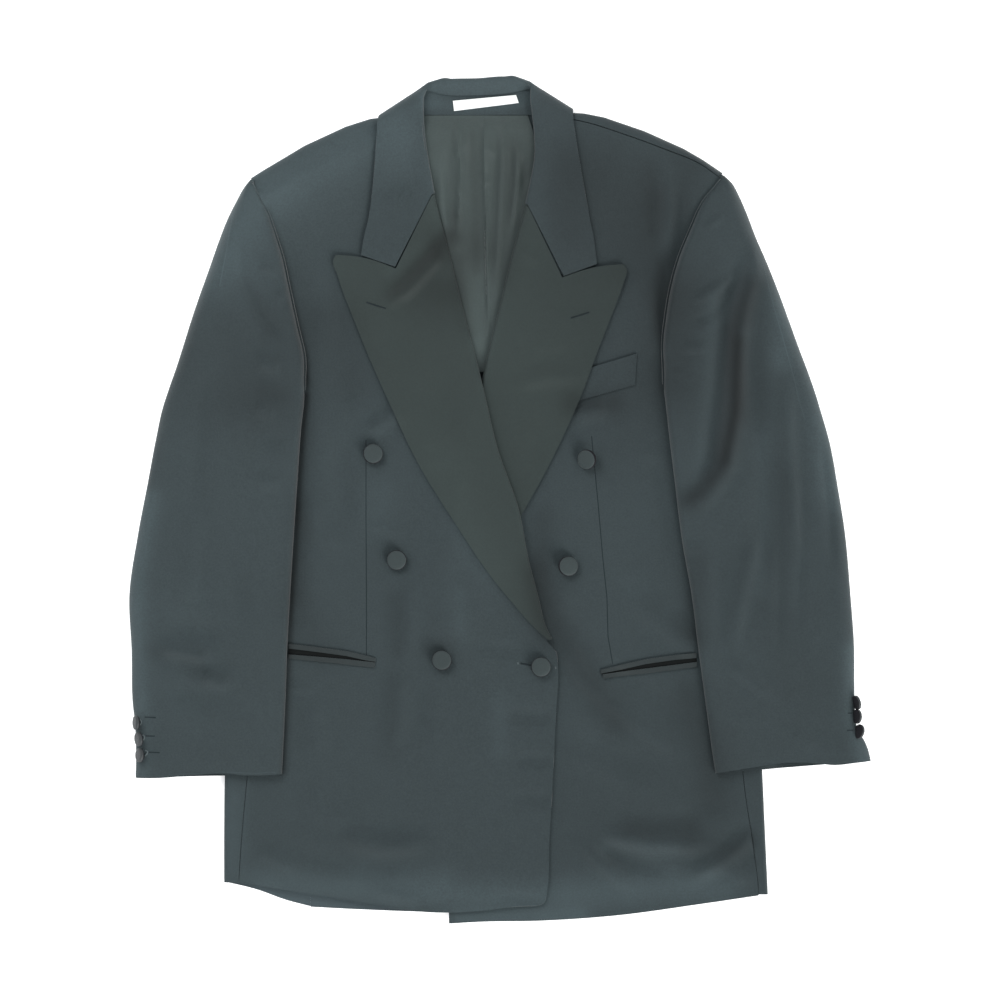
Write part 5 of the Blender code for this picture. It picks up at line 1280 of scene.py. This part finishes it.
def body_step(side, x, y, table):
    """Height of the sleeve's underside where it climbs from the surface onto the body's folded edge."""
    rows = np.array(sorted(table), float)
    fold = np.interp(y, rows[:, 0], rows[:, 1])
    outside = np.maximum(side * (x - fold), 0.0)
    return (FRONT_TOP + LAY_GAP) * smooth(1.0 - outside / BODY_STEP_RAMP)


def sleeve(side, word, table, hem, body_table):
    """Top sleeve and under sleeve, from sections across the arm."""
    rows = filled(table)
    outer_end = rows[:, 0:2]
    inner_end = rows[:, 2:4]
    outer_top, inner_top, wrap, hind_x = rows[:, 4:8].T
    along = inner_end - outer_end
    width = np.linalg.norm(along, axis=1)
    along /= width[:, None]
    wrap = smooth(wrap)
    width = width - ARMHOLE_GAP * (1.0 - wrap)
    seam_top = front_top(inner_end[:, 0], inner_end[:, 1])
    radius = np.minimum(CUFF_EDGE_RADIUS, width * CUFF_EDGE_SHARE)
    lap_top = FRONT_TOP + LAY_GAP
    end_top = seam_top + (lap_top + radius - seam_top) * smooth(wrap * 3)
    hind = np.abs((hind_x - outer_end[:, 0]) / along[:, 0])
    hind = np.minimum(hind, width - HIND_LEAST)
    outer_round = np.minimum(OUTER_ROUNDING, width * ROUNDING_SHARE)
    inner_round = np.minimum(INNER_ROUNDING, width * ROUNDING_SHARE)
    near_hem = smooth(1.0 - (outer_end[:, 1] - outer_end[0, 1]) / CUFF_HEM_FADE)

    def height(at):
        """Height of the top sleeve this far from its outer edge."""
        level = outer_top + (inner_top - outer_top) * smooth(at / width)
        rise = np.sqrt(np.clip(1.0 - np.clip(1.0 - at / outer_round, 0, 1) ** 2, 0, 1))
        from_end = np.clip(1.0 - (width - at) / inner_round, 0, 1)
        fall = np.sqrt(np.clip(1.0 - from_end**2, 0, 1))
        return radius + (level - radius) * rise - (level - end_top) * (1.0 - fall)

    def section(at, z):
        """One line along the sleeve, this far from its outer edge."""
        plan = outer_end + along * at[:, None]
        plan[:, 1] += flowing(hem, at / width) * near_hem
        return np.column_stack([plan, z])

    below = np.linspace(0.0, 1.0, HIND_COLUMNS)
    grid = [section(hind + (radius - hind) * share, 0 * hind) for share in below]
    for angle in EDGE_TURNS:
        a = math.radians(angle)
        grid.append(section(radius * (1 - math.sin(a)), radius * (1 - math.cos(a))))
    arc = 1.0 - np.cos(np.linspace(0.0, math.pi / 2, ROUND_COLUMNS))
    level_width = width - outer_round - inner_round
    middle = outer_round + level_width * np.linspace(0.0, 1.0, ARM_SPANS + 1)[1:-1, None]
    bare = len(grid)
    for at in (*(outer_round * arc[:, None]), *middle, *(width - inner_round * arc[::-1, None])):
        grid.append(section(at, height(at)))
    turned = [(1 - math.cos(a), 0.0, 1 - math.sin(a)) for a in np.radians((*EDGE_TURNS, 90))]
    turned += [(1.0, run, 0.0) for run in (0.33, 0.67, 1.0)]
    for number, (inset, run, part) in enumerate(turned, 1):
        at = width - inset * radius - run * FORE_TURN
        z = lap_top + radius * part
        flat_at = width - CLOSED_STEP * (len(turned) - number)
        at = flat_at + (at - flat_at) * wrap
        z = height(np.minimum(flat_at, width)) * (1.0 - wrap) + z * wrap
        grid.append(section(at, z))
    outer = np.stack(grid, axis=1)
    shown = np.zeros(outer.shape[:2])
    shown[:, bare:-len(turned)] = 1.0
    from_outer = np.linalg.norm(outer[..., :2] - outer_end[:, None, :], axis=2)
    shown *= smooth(from_outer / OUTER_PLAIN) * smooth((width[:, None] - from_outer) / INNER_PLAIN)
    outer[..., 2] += creased(outer[..., 0], outer[..., 1], SLEEVE_CREASES) * shown
    normals = unit_normals(outer)
    if normals[:, bare + ROUND_COLUMNS, 2].sum() < 0:
        normals = -normals
    top_piece = shell(f"sleeve_{word}_top_cloth", outer, outer - normals * SLEEVE_WALL, wool)
    sewn(top_piece, f"sleeve_{word}_top")

    keep = rows[:, 3] <= BODY_TOP_Y
    hind_at = hind[keep] + SEAM_GAP
    fore_at = width[keep] - radius[keep] - FORE_TURN - SEAM_GAP
    body = np.array(sorted(body_table), float)
    fold_x = np.interp(outer_end[keep, 1], body[:, 0], body[:, 1])
    fold_at = np.abs((fold_x - outer_end[keep, 0]) / along[keep, 0])
    shares = np.linspace(0.0, 1.0, UNDER_SPANS + 1)
    ramp = [fold_at - BODY_STEP_RAMP * share for share in np.linspace(1.05, 0.0, RAMP_COLUMNS)]
    flat = [hind_at + (ramp[0] - hind_at) * share for share in shares[:-1]]
    lap = [fold_at + (fore_at - fold_at) * share for share in shares[1:]]
    lower = []
    for at in (*flat, *ramp, *lap):
        plan = outer_end[keep] + along[keep] * at[:, None]
        lower.append(np.column_stack([plan, body_step(side, plan[:, 0], plan[:, 1], body_table)]))
    bottom = np.stack(lower, axis=1)
    raised = bottom + np.array([0.0, 0.0, SLEEVE_WALL])
    under_piece = shell(f"sleeve_{word}_under_cloth", bottom, raised, wool)
    sewn(under_piece, f"sleeve_{word}_under")


sleeve(-1, "left", SLEEVE_LEFT_ROWS, CUFF_LEFT_HEM, SIDE_LEFT_ROWS)
sleeve(1, "right", SLEEVE_RIGHT_ROWS, CUFF_RIGHT_HEM, SIDE_RIGHT_ROWS)

# ------------------------------------------------------------------------------------------------------
# Hip pockets. Each mouth is a slit in the front between two narrow folded strips of satin, the jets;
# between them lies a thin near-black strip, painted shade where the mouth stands a little open.
# ------------------------------------------------------------------------------------------------------
JET_LEFT_TOP = ((-211.5, -143.5), (-183, -147), (-153.5, -151), (-134.3, -155.4), (-124.1, -158.2))
JET_LEFT_MOUTH = ((-211.5, -154.4), (-183, -156.6), (-153.5, -159.2), (-134.3, -161.3), (-124.6, -162.4))
JET_LEFT_BOTTOM = ((-211.5, -158.6), (-183, -161.4), (-153.5, -164.6), (-134.3, -166.8), (-125.4, -167.8))
JET_RIGHT_TOP = ((100.8, -169.7), (121.6, -164.6), (146, -159), (174, -155), (196.5, -153))
JET_RIGHT_MOUTH = ((102.5, -174.2), (121.6, -171.6), (146, -168.4), (174, -164.9), (197, -161.8))
JET_RIGHT_BOTTOM = ((103.2, -178.6), (121.6, -176.3), (146, -173.4), (174, -170), (197, -166.8))
JET_UPPER_WIDTH = 5.0
POCKET_WALL = 0.3
jet_satin = woven("jet_satin", (0.016, 0.022, 0.023), 0.5, 0.24, 0.04, 0.4, 0.03, 0.10, 0.3)
# Near black: painted shade for the open mouth of each pocket.
pocket_mouth_shade = woven("pocket_mouth_painted_shade", (0.005, 0.006, 0.006), 0.9, 0.1, 0.0, 0.5, 0.05, 0.1, 0.1)
# Each jet is cut 10 mm wide and folded to half of that, which is what shows.
for word, front, top_line, mouth, bottom_line, cut, area in (
    ("left", front_over, JET_LEFT_TOP, JET_LEFT_MOUTH, JET_LEFT_BOTTOM, (0.010, 0.089), 0.00048),
    ("right", front_under, JET_RIGHT_TOP, JET_RIGHT_MOUTH, JET_RIGHT_BOTTOM, (0.010, 0.097), 0.00052),
):
    lip = [(px, max(py - JET_UPPER_WIDTH, low + SEAM_GAP)) for (px, py), (_, low) in zip(top_line, mouth)]
    upper = trim(f"jet_{word}_upper_cloth", top_line, lip, [front.name], 5, 24, jet_satin)
    sewn(upper, f"jet_{word}_upper")
    lower = trim(f"jet_{word}_lower_cloth", mouth, bottom_line, [front.name], 5, 24, jet_satin)
    sewn(lower, f"jet_{word}_lower")
    # A thin near-black strip on the front: painted shade in the pocket's mouth.
    inside = trim(f"pocket_{word}_mouth", lip, mouth, [front.name], 3, 24, pocket_mouth_shade, POCKET_WALL)
    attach(inside, "root")

# ------------------------------------------------------------------------------------------------------
# Front buttons. Six 20 mm buttons covered in satin: five stand on thread shanks on the open cloth, and
# one fastens the jacket. The covers are drawn smooth over a dome.
# ------------------------------------------------------------------------------------------------------
FRONT_BUTTONS = (
    # name, x, y, tilt from flat, turn of the tilt
    ("button_left_top", -127, 46, 6, 60),
    ("button_left_middle", -103, -60, 5, 200),
    ("button_left_bottom", -58, -160.5, 6, 120),
    ("button_right_top", 88, 40.8, 28, 195),
    ("button_right_middle", 67.6, -66.3, 14, 10),
    ("button_fastened", 40.8, -167, 4, 30),
)
BUTTON_RADIUS = 10.0
BUTTON_HEIGHT = 6.0
BUTTON_SIDES = 40
# Up to this share of its height the button is near black: its back, and a painted shade round the edge of
# its dome.
BUTTON_SHADED_SHARE = 0.85
BUTTON_PROFILE = (
    # share of the radius, share of the height
    (0.70, 0.0), (0.90, 0.05), (0.975, 0.15), (1.0, 0.32), (1.0, 0.56), (0.985, 0.70), (0.95, 0.80),
    (0.89, 0.88), (0.80, 0.93), (0.62, 0.965), (0.40, 0.985), (0.18, 0.998),
)


def lathed(name, profile, radius, height, sides, face, back, shaded_share):
    """A round piece from a profile, its back at z = 0, near black up to this share of its height: its back
    and a painted shade round its edge.
    """
    points = [(0.0, 0.0, height * profile[0][1])]
    for share, level in profile:
        for k in range(sides):
            a = 2 * math.pi * k / sides
            points.append((radius * share * math.cos(a), radius * share * math.sin(a), height * level))
    points.append((0.0, 0.0, height * profile[-1][1]))
    faces = []
    for k in range(sides):
        after = (k + 1) % sides
        faces.append((0, 1 + after, 1 + k))
        for ring in range(len(profile) - 1):
            a = 1 + ring * sides
            faces.append((a + k, a + after, a + sides + after, a + sides + k))
        last = 1 + (len(profile) - 1) * sides
        faces.append((last + k, last + after, len(points) - 1))
    mesh = bpy.data.meshes.new(name)
    mesh.from_pydata([[v * MM for v in p] for p in points], [], faces)
    layer = mesh.uv_layers.new(name="cloth")
    for loop in mesh.loops:
        place = mesh.vertices[loop.vertex_index].co
        layer.data[loop.index].uv = (place.x, place.y)
    mesh.shade_smooth()
    mesh.materials.append(face)
    mesh.materials.append(back)
    for polygon in mesh.polygons:
        if max(mesh.vertices[corner].co.z for corner in polygon.vertices) < shaded_share * height * MM:
            polygon.material_index = 1
    return mesh


button_satin = woven("button_satin", (0.024, 0.033, 0.034), 0.6, 0.2, 0.06, 0.4, 0.03, 0.08, 0.25)
# Near black: the buttons' backs, and the painted shade round their edges.
button_back_and_rim_shade = woven("button_back_and_rim_shade", (0.006, 0.006, 0.008), 0.8, 0.2, 0.0, 0.6, 0.05, 0.1, 0.2)
mesh = lathed("covered_button", BUTTON_PROFILE, BUTTON_RADIUS, BUTTON_HEIGHT, BUTTON_SIDES,
              button_satin, button_back_and_rim_shade, BUTTON_SHADED_SHARE)
for name, bx, by, tilt, turn in FRONT_BUTTONS:
    button = bpy.data.objects.new(name + "_cover", mesh)
    fronts = ["front_over_cloth", "front_under_cloth"]
    held = support(np.array([bx], float), np.array([by], float), fronts, BUTTON_RADIUS)[0]
    lift = BUTTON_RADIUS * abs(math.sin(math.radians(tilt)))
    button.location = (bx * MM, by * MM, (held + LAY_GAP + lift) * MM)
    button.rotation_euler = (0.0, math.radians(tilt), math.radians(turn))
    bpy.context.scene.collection.objects.link(button)
    sewn(button, name)

# ------------------------------------------------------------------------------------------------------
# Cuff buttons. Three smaller covered buttons at each cuff, hanging on their threads over the sleeve's
# outer edge, so that most of each is seen from the side.
# ------------------------------------------------------------------------------------------------------
CUFF_BUTTONS = (
    # name, x, y, z of the back's middle, tilt from flat, turn of the tilt
    ("cuff_button_left_upper", -361.6, -222.6, 13.0, 70, 180),
    ("cuff_button_left_middle", -359.2, -238.8, 13.0, 63, 186),
    ("cuff_button_left_lower", -358.2, -255, 13.0, 62, 178),
    ("cuff_button_right_upper", 354.6, -203, 11.0, 112, 14),
    ("cuff_button_right_middle", 355.2, -216.4, 11.0, 118, 0),
    ("cuff_button_right_lower", 357.4, -231.0, 11.0, 124, -14),
)
CUFF_BUTTON_RADIUS = 7.2
CUFF_BUTTON_HEIGHT = 4.5
CUFF_BUTTON_SIDES = 32
# Up to this share of its height a cuff button is near black: its back, and a painted shade round its edge.
CUFF_SHADED_SHARE = 0.5
# A paler copy of the button satin: a painted reflection of the bright room on the cuff buttons' tilted
# faces.
cuff_glint_satin = woven("cuff_button_satin_painted_glint", (0.034, 0.038, 0.040), 0.5, 0.16, 0.02, 0.4, 0.03, 0.08, 0.2)
mesh = lathed("cuff_button", BUTTON_PROFILE, CUFF_BUTTON_RADIUS, CUFF_BUTTON_HEIGHT, CUFF_BUTTON_SIDES,
              cuff_glint_satin, button_back_and_rim_shade, CUFF_SHADED_SHARE)
for name, bx, by, bz, tilt, turn in CUFF_BUTTONS:
    button = bpy.data.objects.new(name + "_cover", mesh)
    button.location = (bx * MM, by * MM, bz * MM)
    button.rotation_euler = (0.0, math.radians(tilt), math.radians(turn))
    bpy.context.scene.collection.objects.link(button)
    sewn(button, name)

# ------------------------------------------------------------------------------------------------------
# Stitches. The darts, the worked buttonholes and the small tacks: narrow raised lines of dark and pale
# thread, and of paler wool along pressed folds, a painted highlight, that follow the cloth below them.
# ------------------------------------------------------------------------------------------------------
STITCHED_LINES = (
    # name, front, width, height, points
    ("dart_left", "front_over_cloth", 0.9, 0.10, ((-134, 60), (-134, -20), (-133.5, -100), (-133.6, -155))),
    ("dart_right", "front_under_cloth", 0.9, 0.10,
     ((91.7, 64), (92.3, 56), (98, -2), (103, -60), (107, -98), (108, -136), (112.7, -164))),
    ("lapel_hole_left", "lapel_over_cloth", 1.5, 0.45, ((-133.3, 197.6), (-124, 194.4), (-114, 191.4))),
    ("lapel_hole_right", "lapel_under_cloth", 1.5, 0.45, ((70.8, 181.8), (80, 184.6), (89.2, 187.6))),
    ("front_hole", "front_over_cloth", 1.8, 0.45, ((20.6, -163.4), (31.4, -165.2))),
    ("cuff_slit_left_upper", "sleeve_left_top_cloth", 1.2, 0.3, ((-355, -217), (-344, -217.4))),
    ("cuff_slit_left_middle", "sleeve_left_top_cloth", 1.2, 0.3, ((-354, -235.8), (-345, -236))),
    ("cuff_slit_left_lower", "sleeve_left_top_cloth", 1.2, 0.3, ((-351, -252), (-340, -252.4))),
    ("cuff_slit_right_upper", "sleeve_right_top_cloth", 1.2, 0.3, ((347.6, -213.2), (352, -213))),
    ("cuff_slit_right_lower", "sleeve_right_top_cloth", 1.2, 0.3, ((347, -230.4), (353, -230))),
)
# Where the sleeves were pressed flat, and the pressed turn of a cuff: paler lines, a painted highlight of
# the sheen on these folds.
PRESSED_HIGHLIGHT_LINES = (
    # name, front, width, height, points
    ("sleeve_press_right", "sleeve_right_top_cloth", 0.9, 0.08,
     ((261.8, 238), (273, 194), (282, 163), (293, 124), (299, 98), (305, 80))),
    ("sleeve_press_left", "sleeve_left_top_cloth", 0.9, 0.08, ((-266, 290.5), (-274, 244), (-280, 213))),
    ("cuff_turn_left", "sleeve_left_top_cloth", 0.8, 0.08, ((-273, -271.8), (-246, -273), (-222, -271.6))),
)
# The thread of the cuff buttons, and two tacks.
THREAD_LINES = (
    # name, front, width, height, points
    ("cuff_thread_left_upper", "sleeve_left_top_cloth", 1.4, 0.8,
     ((-360, -219.4), (-358, -222), (-360, -225))),
    ("cuff_thread_left_middle", "sleeve_left_top_cloth", 1.4, 0.8,
     ((-357.4, -234.6), (-355, -237), (-356.6, -240))),
    ("cuff_thread_left_lower", "sleeve_left_top_cloth", 1.4, 0.8,
     ((-354.6, -250), (-351.6, -252), (-355, -256))),
    ("hole_bar_tack", "front_over_cloth", 1.3, 0.5, ((17.6, -162.2), (18.4, -164.4))),
    ("edge_tack", "front_over_cloth", 1.4, 0.5, ((55.4, -166.6), (55.8, -168.8))),
)
dark_seam = woven("dark_seam", (0.014, 0.019, 0.021), 0.9, 0.1, 0.0, 0.5, 0.05, 0.1, 0.1)
# A paler copy of the wool: painted highlight for the sheen on pressed folds.
pressed_highlight = woven("pressed_wool_painted_highlight", (0.032, 0.044, 0.048), 0.86, 0.16, 0.14, 0.5, 0.05, 0.1, 0.1)
pale = woven("pale_thread", (0.060, 0.076, 0.080), 0.8, 0.2, 0.1, 0.5, 0.05, 0.1, 0.1)
STITCH_STEP = 3.0
# How far a line's rim stands above the cloth, and how deep the line goes into it.
STITCH_RIM = 0.02
STITCH_DEPTH = 0.2


def stitched(name, width, height, points, below, material):
    """A narrow rounded line that follows the cloth under it."""
    length = np.linalg.norm(np.diff(np.array(points, float), axis=0), axis=1).sum()
    path = polyline(points, np.linspace(0.0, 1.0, max(4, round(length / STITCH_STEP))))
    run = np.gradient(path, axis=0)
    run /= np.linalg.norm(run, axis=1, keepdims=True)
    off = np.column_stack([-run[:, 1], run[:, 0]]) * width / 2
    shares = np.array([-1.0, -0.6, 0.0, 0.6, 1.0])
    plan = path[:, None, :] + off[:, None, :] * shares[None, :, None]
    low = support(plan[..., 0], plan[..., 1], below)
    top = low + STITCH_RIM + height * np.sqrt(1.0 - shares**2)[None, :]
    return shell(name, np.dstack([plan, top]), np.dstack([plan, low - STITCH_DEPTH]), material)


for lines, thread in ((STITCHED_LINES, dark_seam), (PRESSED_HIGHLIGHT_LINES, pressed_highlight), (THREAD_LINES, pale)):
    for name, front, width, height, points in lines:
        line = stitched(name, width, height, points, [front], thread)
        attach(line, "root")

# ------------------------------------------------------------------------------------------------------
# Table, light and camera. A plain pale table under bright walls, a low broad light from the lower right,
# a soft one from the upper left, and the camera straight above the middle. Sizes here are in metres.
# ------------------------------------------------------------------------------------------------------
TABLE_REACH = 3.0
TABLE_TOP = -0.0003
CAMERA_HEIGHT = 8.0
VIEW_WIDTH = 1.0
SENSOR = 36.0
scene = bpy.context.scene
scene.view_settings.view_transform = "Standard"
table_mesh = bpy.data.meshes.new("table")
turns = ((-1, -1), (1, -1), (1, 1), (-1, 1))
corners = [(x * TABLE_REACH, y * TABLE_REACH, TABLE_TOP) for x, y in turns]
table_mesh.from_pydata(corners, [], [(0, 1, 2, 3)])
table_top = bpy.data.materials.new("pale_table")
table_top.use_nodes = True
paint = table_top.node_tree.nodes["Principled BSDF"]
paint.inputs["Base Color"].default_value = (0.93, 0.93, 0.93, 1.0)
paint.inputs["Roughness"].default_value = 0.9
paint.inputs["Specular IOR Level"].default_value = 0.2
paint.inputs["Emission Color"].default_value = (1.0, 1.0, 1.0, 1.0)
paint.inputs["Emission Strength"].default_value = 0.45
table_mesh.materials.append(table_top)
table = bpy.data.objects.new("table", table_mesh)
scene.collection.objects.link(table)

# The studio's walls are brighter than its ceiling, so most of the light comes in low, from all round.
CEILING_GLOW = 0.3
WALL_GLOW = 1.75
world = bpy.data.worlds.new("studio")
world.use_nodes = True
studio = world.node_tree
background = studio.nodes["Background"]
background.inputs["Color"].default_value = (0.95, 0.98, 1.0, 1.0)
direction = studio.nodes.new("ShaderNodeTexCoord")
upward = studio.nodes.new("ShaderNodeSeparateXYZ")
glow = studio.nodes.new("ShaderNodeMath")
glow.operation = "MULTIPLY_ADD"
glow.inputs[1].default_value = -WALL_GLOW
glow.inputs[2].default_value = CEILING_GLOW + WALL_GLOW
studio.links.new(direction.outputs["Generated"], upward.inputs["Vector"])
studio.links.new(upward.outputs["Z"], glow.inputs[0])
studio.links.new(glow.outputs[0], background.inputs["Strength"])
scene.world = world
WINDOW_WAY = (-0.75, 1.0, -0.68)
WINDOW_SPREAD = 32
lamp_data = bpy.data.lights.new("window", "SUN")
lamp_data.energy = 3.5
lamp_data.color = (1.0, 1.0, 0.98)
lamp_data.angle = math.radians(WINDOW_SPREAD)
lamp = bpy.data.objects.new("window", lamp_data)
lamp.rotation_euler = Vector(WINDOW_WAY).to_track_quat("-Z", "Y").to_euler()
FILL_PLACE = (-0.9, 1.1, 1.3)
fill_data = bpy.data.lights.new("soft_fill", "AREA")
fill_data.energy = 22.0
fill_data.size = 1.0
fill = bpy.data.objects.new("soft_fill", fill_data)
fill.location = FILL_PLACE
fill.rotation_euler = (-fill.location).to_track_quat("-Z", "Y").to_euler()
scene.collection.objects.link(fill)
scene.collection.objects.link(lamp)

camera_data = bpy.data.cameras.new("camera")
camera_data.sensor_width = SENSOR
camera_data.lens = SENSOR * CAMERA_HEIGHT / VIEW_WIDTH
camera = bpy.data.objects.new("camera", camera_data)
camera.location = (0.0, 0.0, CAMERA_HEIGHT + FRONT_TOP * MM)
scene.collection.objects.link(camera)
scene.camera = camera
